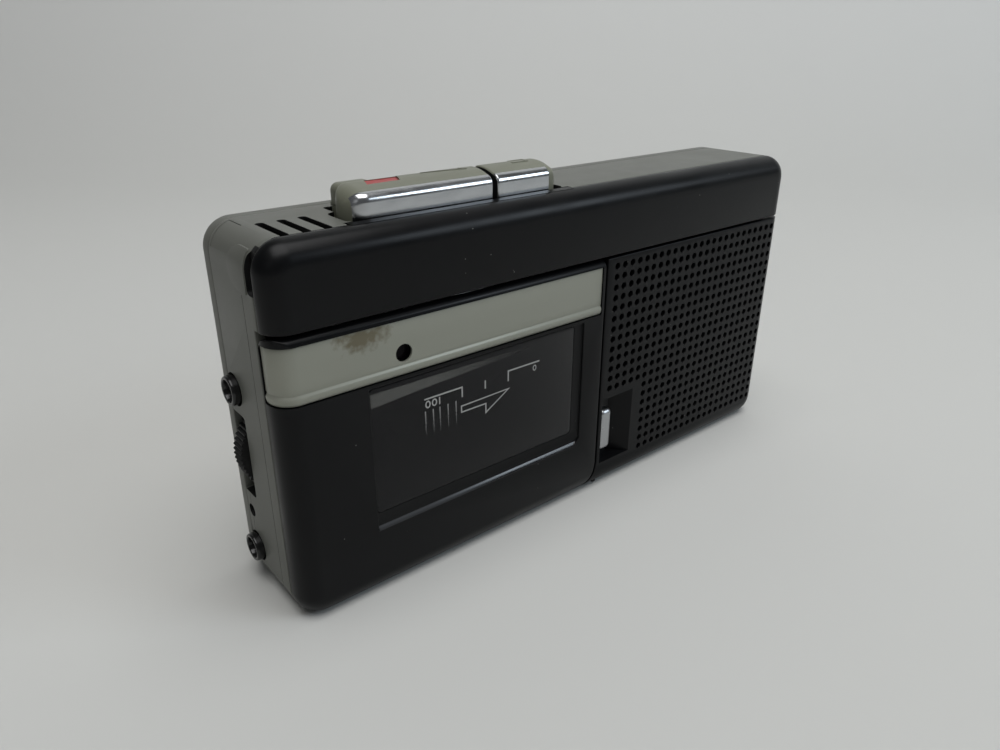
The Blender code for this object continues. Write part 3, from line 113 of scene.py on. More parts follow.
def mergeShort(piece, distance):
    # Tiny edges left by carving would hold a bevel back, so they are merged first
    bm = bmesh.new()
    bm.from_mesh(piece.data)
    bmesh.ops.remove_doubles(bm, verts=bm.verts, dist=distance * millimetre)
    bmesh.ops.dissolve_degenerate(bm, edges=bm.edges, dist=distance * millimetre / 3)
    bm.to_mesh(piece.data)
    bm.free()


def soften(piece, edge, steps, angle, clamp=True):
    rim = piece.modifiers.new("soft", "BEVEL")
    rim.use_clamp_overlap = clamp
    rim.width = edge * millimetre
    rim.segments = steps
    rim.limit_method = "ANGLE"
    rim.angle_limit = math.radians(angle)


def dress(piece, *names):
    for name in names:
        piece.data.materials.append(looks[name])


def present(piece, body, look, nodes, angle=35):
    # The last step of each piece: shading, material, body and what it stands for
    piece.data.shade_smooth()
    piece.data.set_sharp_from_angle(angle=math.radians(angle))
    if look:
        piece.data.materials.clear()
        dress(piece, look)
    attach(piece, body)
    if nodes:
        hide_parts(*nodes)


def boxForm(low, high, edge=0, steps=3):
    bm = bmesh.new()
    bmesh.ops.create_cube(bm, size=1.0)
    low, high = Vector(low), Vector(high)
    bmesh.ops.scale(bm, vec=high - low, verts=bm.verts)
    bmesh.ops.translate(bm, vec=(low + high) / 2, verts=bm.verts)
    if edge:
        bmesh.ops.bevel(bm, geom=bm.edges[:], offset=edge, segments=steps, profile=0.5, affect="EDGES", material=-1)
    return bm


def lathe(profile, start, direction, sides=64):
    # Turns a profile of (radius, height) points about a line from start
    bm = bmesh.new()
    verts = [bm.verts.new((radius, 0, height)) for radius, height in profile]
    edges = [bm.edges.new(pair) for pair in zip(verts, verts[1:])]
    whole = {"cent": (0, 0, 0), "axis": (0, 0, 1), "angle": 2 * math.pi, "use_merge": True}
    bmesh.ops.spin(bm, geom=verts + edges, steps=sides, **whole)
    bmesh.ops.remove_doubles(bm, verts=bm.verts, dist=0.0005)
    bmesh.ops.recalc_face_normals(bm, faces=bm.faces)
    turn = Vector((0, 0, 1)).rotation_difference(Vector(direction)).to_matrix().to_4x4()
    bm.transform(Matrix.Translation(Vector(start)) @ turn)
    return bm


def placed(pair, level, axis):
    # A point of an outline at a level of the third axis; its own two follow in the order X, Y, Z
    a, b = pair
    return {"X": (level, a, b), "Y": (a, level, b), "Z": (a, b, level)}[axis]


def rodForm(centre, low, high, axis, radius, sides=48, edge=0):
    start, end = (Vector(placed(centre, level, axis)) for level in (low, high))
    height, inner, turns = (end - start).length, radius - edge, (math.pi / 6, math.pi / 3)
    profile = [(0, 0), (inner, 0)]
    if edge:
        profile += [(inner + edge * math.sin(turn), edge - edge * math.cos(turn)) for turn in turns]
        profile += [(radius, edge), (radius, height - edge)]
        profile += [(inner + edge * math.cos(turn), height - edge + edge * math.sin(turn)) for turn in turns]
    profile += [(inner, height), (0, height)]
    return lathe(profile, start, end - start, sides)


def prism(outline, low, high, axis):
    # An outline pushed along X, Y or Z
    bm = bmesh.new()
    face = bm.faces.new([bm.verts.new(placed(pair, low, axis)) for pair in outline])
    pushed = bmesh.ops.extrude_face_region(bm, geom=[face])["geom"]
    verts = [item for item in pushed if isinstance(item, bmesh.types.BMVert)]
    bmesh.ops.translate(bm, vec=placed((0, 0), high - low, axis), verts=verts)
    bmesh.ops.recalc_face_normals(bm, faces=bm.faces)
    return bm


def pushedEdges(bm, edges, shift):
    # Draws a row of edges out into a surface, and gives the new row
    pushed = bmesh.ops.extrude_edge_only(bm, edges=edges)["geom"]
    verts = [item for item in pushed if isinstance(item, bmesh.types.BMVert)]
    rims = [item for item in pushed if isinstance(item, bmesh.types.BMEdge) and item.is_boundary]
    bmesh.ops.translate(bm, vec=shift, verts=verts)
    return verts, [edge for edge in rims if all(vert in verts for vert in edge.verts)]


def arc(centre, radius, start, end, steps):
    # Points on part of a circle, between two angles in quarter turns
    turns = [math.pi / 2 * (start + (end - start) * step / steps) for step in range(steps + 1)]
    return [(centre[0] + radius * math.cos(turn), centre[1] + radius * math.sin(turn)) for turn in turns]


def roundedOutline(low, high, radii, steps=8):
    # Corners run lower left, lower right, upper right, upper left
    corners = (low, (high[0], low[1]), high, (low[0], high[1]))
    inward = ((1, 1), (-1, 1), (-1, -1), (1, -1))
    outline = []
    for number, (corner, side, radius) in enumerate(zip(corners, inward, radii)):
        centre = (corner[0] + side[0] * radius, corner[1] + side[1] * radius)
        outline += arc(centre, radius, 2 + number, 3 + number, steps)
    return outline


def joined(*forms):
    bm = bmesh.new()
    for form in forms:
        mesh = bpy.data.meshes.new("part")
        form.to_mesh(mesh)
        form.free()
        bm.from_mesh(mesh)
        bpy.data.meshes.remove(mesh)
    return bm


def caseForm(inset=0):
    bm = bmesh.new()
    bmesh.ops.create_cube(bm, size=1.0)
    size = Vector([caseSize[key] - 2 * inset for key in ("length", "depth", "height")])
    bmesh.ops.scale(bm, vec=size, verts=bm.verts)
    bmesh.ops.translate(bm, vec=(0, 0, topZ / 2), verts=bm.verts)
    along = [edge for edge in bm.edges if abs((edge.verts[0].co - edge.verts[1].co).y) > 1]
    settings = {"profile": 0.5, "affect": "EDGES", "material": -1}
    radius, steps = caseSize["cornerRadius"] - inset, caseSize["cornerSteps"]
    bmesh.ops.bevel(bm, geom=along, offset=radius, segments=steps, **settings)
    for side, radius, steps in ((-1, "frontRadius", "frontSteps"), (1, "rearRadius", "rearSteps")):
        level = side * size.y / 2
        rim = [edge for edge in bm.edges if all(abs(vert.co.y - level) < 0.01 for vert in edge.verts)]
        bmesh.ops.bevel(bm, geom=rim, offset=caseSize[radius] - inset, segments=caseSize[steps], **settings)
    bmesh.ops.recalc_face_normals(bm, faces=bm.faces)
    return bm


def caseSkin(name, cuts, wanted=lambda middle: True):
    # The case's outer face on one side of each cut, or on both where the cut's side is 0
    bm = caseForm()
    for axis, level, side in cuts:
        normal = Vector([1 if letter == axis else 0 for letter in "XYZ"])
        everything = bm.verts[:] + bm.edges[:] + bm.faces[:]
        bmesh.ops.bisect_plane(bm, geom=everything, dist=0.0001, plane_co=normal * level, plane_no=normal)

    def inside(middle):
        return all(side * (middle["XYZ".index(axis)] - level) >= 0 for axis, level, side in cuts)

    middles = [(face, face.calc_center_median()) for face in bm.faces]
    unwanted = [face for face, middle in middles if not (inside(middle) and wanted(middle))]
    bmesh.ops.delete(bm, geom=unwanted, context="FACES")
    return pieceFrom(bm, name)


# Materials


def newMaterial(name, colour, roughness, metallic=0.0, specular=0.5, **inputs):
    looks[name] = made = bpy.data.materials.new(name)
    made.use_nodes = True
    shader = made.node_tree.nodes["Principled BSDF"]
    inputs |= {"Base Color": (*colour, 1), "Roughness": roughness, "Metallic": metallic, "Specular IOR Level": specular}
    for key, value in inputs.items():
        shader.inputs[key].default_value = value
    return made.node_tree, shader


def addNode(tree, kind, inputs, **settings):
    # An input is linked where another node's output is given for it, and set otherwise
    node = tree.nodes.new("ShaderNode" + kind)
    for key, value in settings.items():
        setattr(node, key, value)
    for key, value in inputs.items():
        if isinstance(value, bpy.types.NodeSocket):
            tree.links.new(value, node.inputs[key])
        else:
            node.inputs[key].default_value = value
    return node


def onPiece(tree):
    # The place of a point on its piece, in metres
    return addNode(tree, "TexCoord", {}).outputs["Object"]


def spread(tree, value, start, end, low, high):
    # Brings a value from the span between start and end to the span between low and high
    ends = {"Value": value, "From Min": start, "From Max": end, "To Min": low, "To Max": high}
    return addNode(tree, "MapRange", ends).outputs["Result"]


def noise(tree, scale, detail, stretch=(1, 1, 1)):
    mapping = addNode(tree, "Mapping", {"Vector": onPiece(tree), "Scale": stretch})
    inputs = {"Vector": mapping.outputs["Vector"], "Scale": scale, "Detail": detail}
    return addNode(tree, "TexNoise", inputs).outputs["Fac"]


def alongAxis(tree, axis, start, end, low, high):
    # A value that runs between two levels along one axis of the piece, in metres
    split = addNode(tree, "SeparateXYZ", {"Vector": onPiece(tree)})
    return spread(tree, split.outputs[axis], start, end, low, high)


def ramp(tree, source, stops):
    made = addNode(tree, "ValToRGB", {"Fac": source})
    for element, (position, colour) in zip(made.color_ramp.elements, stops):
        element.position = position
        element.color = (*colour, 1)
    return made.outputs["Color"]


def roughen(tree, shader, source, low, high):
    tree.links.new(spread(tree, source, 0.3, 0.7, low, high), shader.inputs["Roughness"])


def bump(tree, shader, source, strength, distance):
    made = addNode(tree, "Bump", {"Height": source, "Strength": strength, "Distance": distance * millimetre})
    tree.links.new(made.outputs["Normal"], shader.inputs["Normal"])


def dust(tree, source, strength):
    # Sparse pale specks of dust over a dark finish
    pale = (0.20, 0.20, 0.19, 1)
    cells = addNode(tree, "TexVoronoi", {"Vector": onPiece(tree), "Scale": 620.0})
    spot = spread(tree, cells.outputs["Distance"], 0.045, 0.075, strength, 0.0)
    split = addNode(tree, "SeparateColor", {"Color": cells.outputs["Color"]})
    chance = addNode(tree, "Math", {0: split.outputs["Red"], 1: 0.86}, operation="GREATER_THAN")
    both = addNode(tree, "Math", {0: spot, 1: chance.outputs["Value"]}, operation="MULTIPLY")
    return addNode(tree, "Mix", {0: both.outputs["Value"], 6: source, 7: pale}, data_type="RGBA").outputs[2]


def plastic(name, colour, lighter, roughness, grainScale=5200, grain=0.25, depth=0.01, specular=0.5, specks=0.0):
    # Moulded plastic: fine spark grain, with handling marks that shift its gloss
    tree, shader = newMaterial(name, colour, roughness, specular=specular)
    marks = noise(tree, 90, 4.0)
    tone = ramp(tree, marks, [(0.35, colour), (0.75, lighter)])
    if specks:
        tone = dust(tree, tone, specks)
    tree.links.new(tone, shader.inputs["Base Color"])
    roughen(tree, shader, marks, roughness - 0.05, roughness + 0.06)
    bump(tree, shader, noise(tree, grainScale, 2.0), grain, depth)


def makeLooks():
    plastic("blackPlastic", (0.0026, 0.0028, 0.0033), (0.0036, 0.0038, 0.0044), 0.33, specular=0.17, specks=0.7)
    tree, shader = newMaterial("polishedEdge", (0.004, 0.004, 0.005), 0.14, specular=0.6)
    tree.links.new(alongAxis(tree, "X", -0.036, -0.018, 0.55, 0.16), shader.inputs["Roughness"])
    plastic("greyPlastic", (0.118, 0.121, 0.106), (0.134, 0.137, 0.121), 0.44, 4200, 0.35, 0.014, 0.35)
    # Dark plastic for the dial and inner parts, also used as painted shade on slot walls and on the key ends facing
    # each other
    plastic("darkPlasticAndPaintedShade", (0.008, 0.008, 0.008), (0.011, 0.011, 0.011), 0.5, specular=0.3)
    plastic("socketPlastic", (0.006, 0.006, 0.006), (0.008, 0.008, 0.008), 0.2, 3000, 0.1, 0.004, 0.45)
    plastic("whitePlastic", (0.66, 0.65, 0.60), (0.72, 0.71, 0.66), 0.45)
    plastic("satinKey", (0.165, 0.170, 0.128), (0.185, 0.190, 0.146), 0.38, 3800, 0.2, 0.008, 0.35)
    makeMetal("chrome", (0.50, 0.51, 0.52), 0.20)
    makeMetal("silver", (0.42, 0.43, 0.44), 0.30)
    makeMetal("steel", (0.45, 0.45, 0.45), 0.32)
    makeMetal("brass", (0.55, 0.40, 0.18), 0.30)
    makeStrip()
    newMaterial("windowGlass", (0.008, 0.008, 0.009), 0.08, specular=0.25, Alpha=0.88)
    newMaterial("print", (0.33, 0.33, 0.32), 0.5)
    tree, shader = newMaterial("printFading", (0.24, 0.24, 0.235), 0.5)
    tree.links.new(alongAxis(tree, "Z", 0.0256, 0.0300, 0.0, 1.0), shader.inputs["Alpha"])
    # A painted reflection on the window pane, fading to the right
    tree, shader = newMaterial("paintedReflectionBand", (0.20, 0.20, 0.185), 0.5)
    tree.links.new(alongAxis(tree, "X", -0.034, -0.014, 0.42, 0.0), shader.inputs["Alpha"])
    newMaterial("redPaint", (0.36, 0.010, 0.012), 0.35)
    newMaterial("lampLens", (0.002, 0.001, 0.002), 0.25, specular=0.06)
    newMaterial("rubber", (0.010, 0.010, 0.010), 0.75)
    newMaterial("felt", (0.004, 0.004, 0.004), 0.95, specular=0.2)
    newMaterial("paper", (0.02, 0.02, 0.02), 0.85)
    newMaterial("board", (0.04, 0.12, 0.04), 0.5)


def makeMetal(name, colour, roughness):
    tree, shader = newMaterial(name, colour, roughness, 1.0)
    roughen(tree, shader, noise(tree, 700, 3.0, (0.25, 1, 1)), roughness - 0.05, roughness + 0.07)


def makeStrip():
    # Silver paint with a worn brownish patch near the lamp
    clean, worn = (0.275, 0.280, 0.235), (0.135, 0.120, 0.078)
    tree, shader = newMaterial("stripPaint", clean, 0.40, 0.25)
    patch = {"Location": (45.8 * 0.19, 0, -45.3 * 0.42), "Scale": (190, 0, 420)}
    mapping = addNode(tree, "Mapping", {"Vector": onPiece(tree), **patch})
    reach = addNode(tree, "VectorMath", {0: mapping.outputs["Vector"]}, operation="LENGTH").outputs["Value"]
    total = addNode(tree, "Math", {0: noise(tree, 900, 4.0), 1: 1.6, 2: reach}, operation="MULTIPLY_ADD")
    tone = ramp(tree, spread(tree, total.outputs["Value"], 1.15, 1.75, 0, 1), [(0.0, worn), (1.0, clean)])
    tree.links.new(tone, shader.inputs["Base Color"])


makeLooks()
say("materials")

# Black cabinet round the keys

keySlot = {"left": -44.1, "right": -2.5, "front": -6.45, "back": 0.95, "radius": 1.6}
slotDepth = 4
recordSlot = {"left": -42.5, "right": -34.7, "back": 4.75}
micSlots = {"places": (-54.1, -50.9, -47.7), "width": 1.35, "front": -7.6, "back": 1.25}
bandSize = {"tongue": 1.5, "lugWidth": 2.4, "lugInset": 6.0, "lugWall": 1.1, "lugTop": 51.3, "bore": 0.85}
hinge = (-8.85, 45.3)
hingeSize = {"pin": 0.5, "earWidth": 2, "earHalf": 1.3, "gap": 0.3, "relief": 2.3}


def lugPlaces():
    return (leftX + bandSize["lugInset"], seams["lidRight"] - bandSize["lugInset"])


def lugForm(centreX):
    (y, z), pin, (wall, top) = hinge, hingeSize["pin"], pick(bandSize, "lugWall", "lugTop")
    front, back = frontY + 0.8, y + 3.4
    outline = [(y - pin, z - wall), (back, z - wall), (back, top), (front, top), (front, top - wall)]
    outline += [(back - wall, top - wall), (back - wall, z + wall), (y - pin + 0.8, z + wall), (y - pin, z + 0.3)]
    half = bandSize["lugWidth"] / 2
    return prism(outline, centreX - half, centreX + half, "X")


def makeBand():
    bottom, back = pick(seams, "bandBottom", "bandBack")
    band = caseSkin("cabinetBand", (("Z", bottom, 1), ("Y", back, -1)))
    thicken(band, caseSize["wall"], seams["edge"])
    mergeShort(band, 0.01)
    # A tongue that closes the key slot in front
    low = (keySlot["left"] - 0.5, back - 0.6, topZ - bandSize["tongue"])
    weld(band, boxForm(low, (keySlot["right"] + 0.4, keySlot["front"] - 0.05, topZ)))
    for centreX in lugPlaces():
        weld(band, lugForm(centreX))
    carve(band, rodForm(hinge, leftX + 3, seams["lidRight"] - 3, "X", bandSize["bore"]))
    present(band, "case", "blackPlastic", ["front_cabinet"])


makeBand()
say("cabinet band")

# Grey body behind the front mouldings

socketPlaces = {"y": 5.05, "upper": 35.4, "lower": 6.6, "radius": 2.4, "gap": 0.3}
dialPlace = {"x": -52.7, "y": 5.05, "z": 24.1, "radius": 8.0, "teeth": 60, "slotLength": 14.5, "slotWidth": 4.6}


def topSlotForm(low, high, radius, steps):
    return prism(roundedOutline(low, high, [radius] * 4, steps), topZ - slotDepth, topZ + slotDepth, "Z")


# The left end's dot, notch, pad and thin moulded lines, in Y and Z
endDot = {"place": (5.55, 13.3), "hole": 1.15, "radius": 1.13}
endNotch = {"low": (-9.0, 53.2), "high": (-5.6, 59.4), "radii": (0.8, 0.8, 1.6, 0.8), "depth": 1.1}
endPad = {"low": (-5.5, 53.1), "high": (0.2, 59.2), "radii": (0.3, 2.95, 2.95, 0.3), "rise": 0.16, "edge": 0.14}
endLines = (((-3.56, 3.0), (-3.42, 52.6)), ((5.49, 9.2), (5.61, 11.9)), ((5.49, 14.7), (5.61, 16.4)))
lineDepth = 0.16


def cornerLine():
    # A hair line that climbs over the upper left corner and turns forward on the top
    line = pieceFrom(caseForm(-1), "cornerLine")
    carve(line, caseForm(lineDepth))
    zone = pieceFrom(boxForm((leftX - 2, 6.15, 57.3), (-56.1, 6.29, topZ + 2)), "cornerZone")
    weld(zone, boxForm((-56.24, 2.1, topZ - 1), (-56.1, 6.2, topZ + 2)))
    carveWith(line, zone, "INTERSECT")
    return line


def paintShadeInSlots(piece):
    # The walls of the slots in the top, the notch and the openings in the end get the dark material as painted shade
    dress(piece, "darkPlasticAndPaintedShade")
    frameFront = seams["frameFront"] + 0.05
    for face in piece.data.polygons:
        (x, y, z), normal = face.center / millimetre, face.normal
        onTop = z > topZ - 1.7 and abs(normal.z) < 0.6 and -56 < x < 0 and y < 5
        inFront = y < frameFront and x > keySlot["right"]
        onEnd = leftX + 0.1 < x < leftX + 1.7 and abs(normal.x) < 0.6 and 2 < y < 6.9 and 3 < z < 42
        inNotch = leftX + 0.3 < x < leftX + 1.6 and y < -5.4 and 52.9 < z < 59.6
        if (onTop and not inFront) or onEnd or inNotch:
            face.material_index = 1


def makeFrame():
    bottom, high, low, back = pick(seams, "bandBottom", "frameFront", "frameFrontLow", "frameBack")
    cuts = (("Z", bottom, 0), ("Y", high, 1), ("Y", low, 0), ("Y", back, -1))
    body = caseSkin("middleCase", cuts, lambda middle: middle.z > bottom or middle.y > low)
    thicken(body, caseSize["wall"], seams["edge"])
    low, far = pick(keySlot, "left", "front"), pick(keySlot, "right", "back")
    carve(body, topSlotForm(low, far, keySlot["radius"], 12))
    corner = (keySlot["right"] + 0.7, keySlot["front"] + 0.3, topZ + slotDepth)
    carve(body, boxForm((keySlot["left"] - 0.8, high - 1, topZ - slotDepth), corner))
    corner = (recordSlot["right"], recordSlot["back"], topZ + slotDepth)
    carve(body, boxForm((recordSlot["left"], 0, topZ - slotDepth), corner, 0.6, 4))
    half = micSlots["width"] / 2
    for x in micSlots["places"]:
        carve(body, topSlotForm((x - half, micSlots["front"]), (x + half, micSlots["back"]), half * 0.9, 6))
    for z in (socketPlaces["upper"], socketPlaces["lower"]):
        radius = socketPlaces["radius"] + socketPlaces["gap"]
        carve(body, rodForm((socketPlaces["y"], z), leftX - 2, leftX + 4, "X", radius, 64))
    y, z, width, length = pick(dialPlace, "y", "z", "slotWidth", "slotLength")
    low, high = ((y + side * width / 2, z + side * length / 2) for side in (-1, 1))
    carve(body, prism(roundedOutline(low, high, [0.7] * 4, 6), leftX - 2, leftX + 4, "X"))
    outline = roundedOutline(*pick(endNotch, "low", "high", "radii"), 8)
    carve(body, prism(outline, leftX - 2, leftX + endNotch["depth"], "X"))
    carve(body, rodForm(endDot["place"], leftX - 1, leftX + 1.2, "X", endDot["hole"]))
    for low, high in endLines:
        carve(body, boxForm((leftX - 1, *low), (leftX + lineDepth, *high)))
    carveWith(body, cornerLine())
    present(body, "case", "greyPlastic", ["middle_frame"])
    # Painted shade on the walls of the slots, the notch and the openings in the end
    paintShadeInSlots(body)


def makeEndDetails():
    dot = pieceFrom(rodForm(endDot["place"], leftX + 0.35, leftX + 1.5, "X", endDot["radius"], 48, 0.15), "endDot")
    present(dot, "case", "socketPlastic", ())
    outline = roundedOutline(*pick(endPad, "low", "high", "radii"), 12)
    pad = pieceFrom(prism(outline, leftX - 2, leftX + 3, "X"), "endPad")
    carve(pad, caseForm(-endPad["rise"]), "INTERSECT")
    carve(pad, caseForm(0.3))
    soften(pad, endPad["edge"], 4, 40)
    bake(pad)
    present(pad, "case", "greyPlastic", ())


makeFrame()
makeEndDetails()
say("grey body")

# Rear cover with its battery tray, and the sliding cover over it

tray = {"left": 6.3, "right": 55.7, "bottom": 14.1, "top": 38.5, "floor": -1.35, "wall": 0.8, "ledge": 0.9}
coverSize = {"lip": 1.9, "gap": 0.3, "grips": 5, "gripPitch": 1.6, "gripWidth": 0.7, "gripLength": 12.0}
trayMiddle = (tray["bottom"] + tray["top"]) / 2
divider = {"half": 0.6, "height": 3}
channel, feet = (8.45, 9.55), (8.75, 9.25)
screws = ((-41.5, 4.2), (-51.9, 56.5), (53.3, 4.2), (53.3, 56.5))
screwPocket = {"radius": 1.75, "depth": 1.3}


def makeRear():
    left, right, bottom, top, floor = pick(tray, "left", "right", "bottom", "top", "floor")
    wall, ledge = pick(tray, "wall", "ledge")
    rear = caseSkin("rearCase", (("Y", seams["rearFront"], 1),))
    thicken(rear, caseSize["wall"], seams["edge"])
    low = (left - wall, floor - wall, bottom - wall - ledge)
    weld(rear, boxForm(low, (rightX - 1.9, backY - 0.8, top + wall + ledge), 0.3, 2))
    carve(rear, boxForm((left, floor, bottom), (right, backY + 2, top), 0.25, 3))
    carve(rear, boxForm((left, backY - coverSize["lip"], bottom), (rightX + 2, backY + 2, top)))
    # A low wall between the two cells, and channels for the cover's feet
    low = (left - 0.4, floor - 0.4, trayMiddle - divider["half"])
    high = (right - 4, floor + divider["height"], trayMiddle + divider["half"])
    weld(rear, boxForm(low, high, 0.2, 2))
    carve(rear, boxForm((left, channel[0], bottom - ledge), (rightX + 2, channel[1], top + ledge)))
    for screw in screws:
        carve(rear, rodForm(screw, backY - screwPocket["depth"], backY + 1, "Y", screwPocket["radius"]))
    present(rear, "case", "greyPlastic", ["rear_cover"])


def makeCellCover():
    gap, half, width = coverSize["gap"], coverSize["gripLength"] / 2, coverSize["gripWidth"]
    cover = pieceFrom(caseForm(), "cellCover")
    carve(cover, caseForm(caseSize["wall"]))
    low = (tray["left"] + gap, backY - coverSize["lip"] + gap, tray["bottom"] + gap)
    carve(cover, boxForm(low, (rightX + 2, backY + 2, tray["top"] - gap)), "INTERSECT")
    for number in range(coverSize["grips"]):
        x = tray["left"] + 5 + number * coverSize["gripPitch"]
        low = (x, backY - 0.4, trayMiddle - half)
        carve(cover, boxForm(low, (x + width, backY + 1, trayMiddle + half), 0.15, 2))
    soften(cover, 0.12, 2, 60)
    bake(cover)
    # Four feet that slide in the tray's channels
    for x in (tray["left"] + 5, tray["right"] - 9):
        for side, edge in ((-1, tray["bottom"] + gap), (1, tray["top"] - gap)):
            for reach, back in ((0.9, feet[1]), (-1, backY - 0.8)):
                low, high = sorted((edge - side * 2, edge + side * reach))
                weld(cover, boxForm((x, feet[0], low), (x + 4, back, high)))
    present(cover, "cell_cover", "greyPlastic", ["battery_cover"])


makeRear()
makeCellCover()
say("rear case")

# Perforated speaker panel with the thumb recess

grille = {"pitch": 2.045, "firstX": 6.9, "firstZ": 46.1, "columns": 25, "rows": 21, "radius": 0.62, "rim": 0.07}
recess = {"left": 5.2, "floorRight": 10.3, "right": 13.8, "bottom": 5.3, "top": 19.5, "depth": 3.2}
# The slider's pad, its stem through the panel and its foot behind, each as two corners
sliderForms = {
    "pad": ((5.5, -10.75, 7.6), (8.8, -8.25, 16.7)),
    "stem": ((6.3, -8.95, 10.0), (8.0, -6.2, 15.2)),
    "foot": ((2.5, -6.65, 14.3), (8.8, -5.85, 18.3)),
}


def seamOutline(grow):
    # The lid's right edge, which curves to the left at its foot
    right, radius = seams["lidRight"] + grow, seams["footRadius"] + grow
    curve = arc((right - radius, seams["footHeight"]), radius, -1, 0, 12)
    return [(leftX - 5, -3), (right - radius - 3, -3), *curve, (right, 80), (leftX - 5, 80)]


def holeForms():
    radius, rim = pick(grille, "radius", "rim")
    profile = [(0, -1), (radius + rim * 1.6, -1), (radius + rim * 1.6, -0.02), (radius + rim, 0)]
    profile += [(radius + rim * 0.3, 0.06), (radius, 0.16), (radius, 3.4), (0, 3.4)]
    mesh = bpy.data.meshes.new("hole")
    lathe(profile, (0, 0, 0), (0, 1, 0), 14).to_mesh(mesh)
    bm = bmesh.new()
    for row in range(grille["rows"]):
        for column in range(5 if row > 12 else 0, grille["columns"]):
            first = len(bm.verts)
            bm.from_mesh(mesh)
            bm.verts.ensure_lookup_table()
            place = (grille["firstX"] + column * grille["pitch"], frontY, grille["firstZ"] - row * grille["pitch"])
            bmesh.ops.translate(bm, vec=place, verts=bm.verts[first:])
    bpy.data.meshes.remove(mesh)
    return bm


def makeGrille():
    left, top, back = pick(seams, "panelLeft", "panelTop", "frontBack")
    panel = caseSkin("grillePanel", (("X", left - 7, 1), ("Z", top, -1), ("Y", back, -1)))
    thicken(panel, caseSize["wall"], 0)
    carve(panel, prism(seamOutline(left - seams["lidRight"]), frontY - 2, 0, "Y"))
    mergeShort(panel, 0.06)
    soften(panel, seams["edge"], 3, 40, clamp=False)
    bake(panel)
    # The recess has its own walls, and the panel a rib along its left edge
    low = (left + 0.02, frontY + 0.8, recess["bottom"] - 1)
    weld(panel, boxForm(low, (recess["right"] + 1, frontY + 4.2, recess["top"] + 1), 0.2, 2))
    weld(panel, boxForm((left + 0.02, frontY + 0.8, 0.8), (left + 0.8, frontY + 4.2, top - 0.02)))
    depth, floor = recess["depth"], frontY + recess["depth"]
    lip = recess["right"] + (recess["right"] - recess["floorRight"]) / depth * 2
    outline = [(recess["left"], floor), (recess["left"], frontY - 2), (lip, frontY - 2), (recess["floorRight"], floor)]
    carve(panel, prism(outline, recess["bottom"], recess["top"], "Z"))
    carve(panel, holeForms())
    present(panel, "case", "blackPlastic", ["speaker_grille"])


def makeSlider():
    slider = pieceFrom(boxForm(*sliderForms["pad"], 1.15, 7), "releaseSlider")
    weld(slider, boxForm(*sliderForms["stem"]))
    weld(slider, boxForm(*sliderForms["foot"]))
    present(slider, "release", "silver", ["release_slider"])


makeGrille()
makeSlider()
say("speaker panel")

# Cassette lid with its trim strip, window and lamp

windowSize = {"left": -45.5, "right": -3.0, "bottom": 15.0, "top": 36.8, "recess": 0.5, "thickness": 1.0}
stripSize = {"bottom": 37.7, "top": 46.4, "right": 3.2, "recess": 0.2, "thickness": 0.4, "back": -6.95}
lamp = {"place": (-39.1, 41.2), "radius": 1.4, "hole": 1.6}
hook = {"left": 2.5, "right": 3.6, "seat": -10.4, "tip": -5.55}


def windowDish():
    # The sunk margin: deep at the pane, with a ledge below it and a cut lower right corner
    left, right = windowSize["left"] - 0.06, windowSize["right"] + 2.0
    bottom, top = windowSize["bottom"], windowSize["top"] + 0.2
    crest = ((-2, -3.0), (-0.02, -3.05), (0.05, -2.88), (0.24, -2.42), (0.38, -2.28), (windowSize["recess"], -0.1))
    section = [(frontY + depth, bottom + height) for depth, height in crest]
    section += [(frontY + windowSize["recess"], top), (frontY - 2, top)]
    dish = pieceFrom(prism(section, left, right, "X"), "windowDish")
    low = bottom - 3.1
    outline = [(left - 1, low), (right - 1.6, low), (right, bottom - 1.5), (right, top + 1), (left - 1, top + 1)]
    carve(dish, prism(outline, frontY - 3, frontY + 3, "Y"), "INTERSECT")
    return dish


def topRoundOutline():
    # What the rounded top edge of the lid leaves away, as Y and Z
    top, radius = seams["lidTop"], 1.5
    curve = arc((frontY + radius, top - radius), radius, 2, 1, 10)
    return [(frontY - 2, top - radius), *curve, (frontY + radius, top + 2), (frontY - 2, top + 2)]


def reliefOutline():
    # The end wall is round about the hinge so that it turns clear of the grey body
    y, z = hinge
    return [(-4.0, z), (-4.0, 50), (y, 50), *arc(hinge, hingeSize["relief"], 1, 0, 12)]


def windowOutline(inset):
    low = (windowSize["left"] + inset, windowSize["bottom"] + inset)
    high = (windowSize["right"] - inset, windowSize["top"] - inset)
    return roundedOutline(low, high, [0.8] * 4, 6)


def hingeEars():
    spans, width = [], hingeSize["earWidth"]
    for centre in lugPlaces():
        inner = bandSize["lugWidth"] / 2 + hingeSize["gap"]
        spans += [(centre - inner - width, centre - inner), (centre + inner, centre + inner + width)]
    return spans


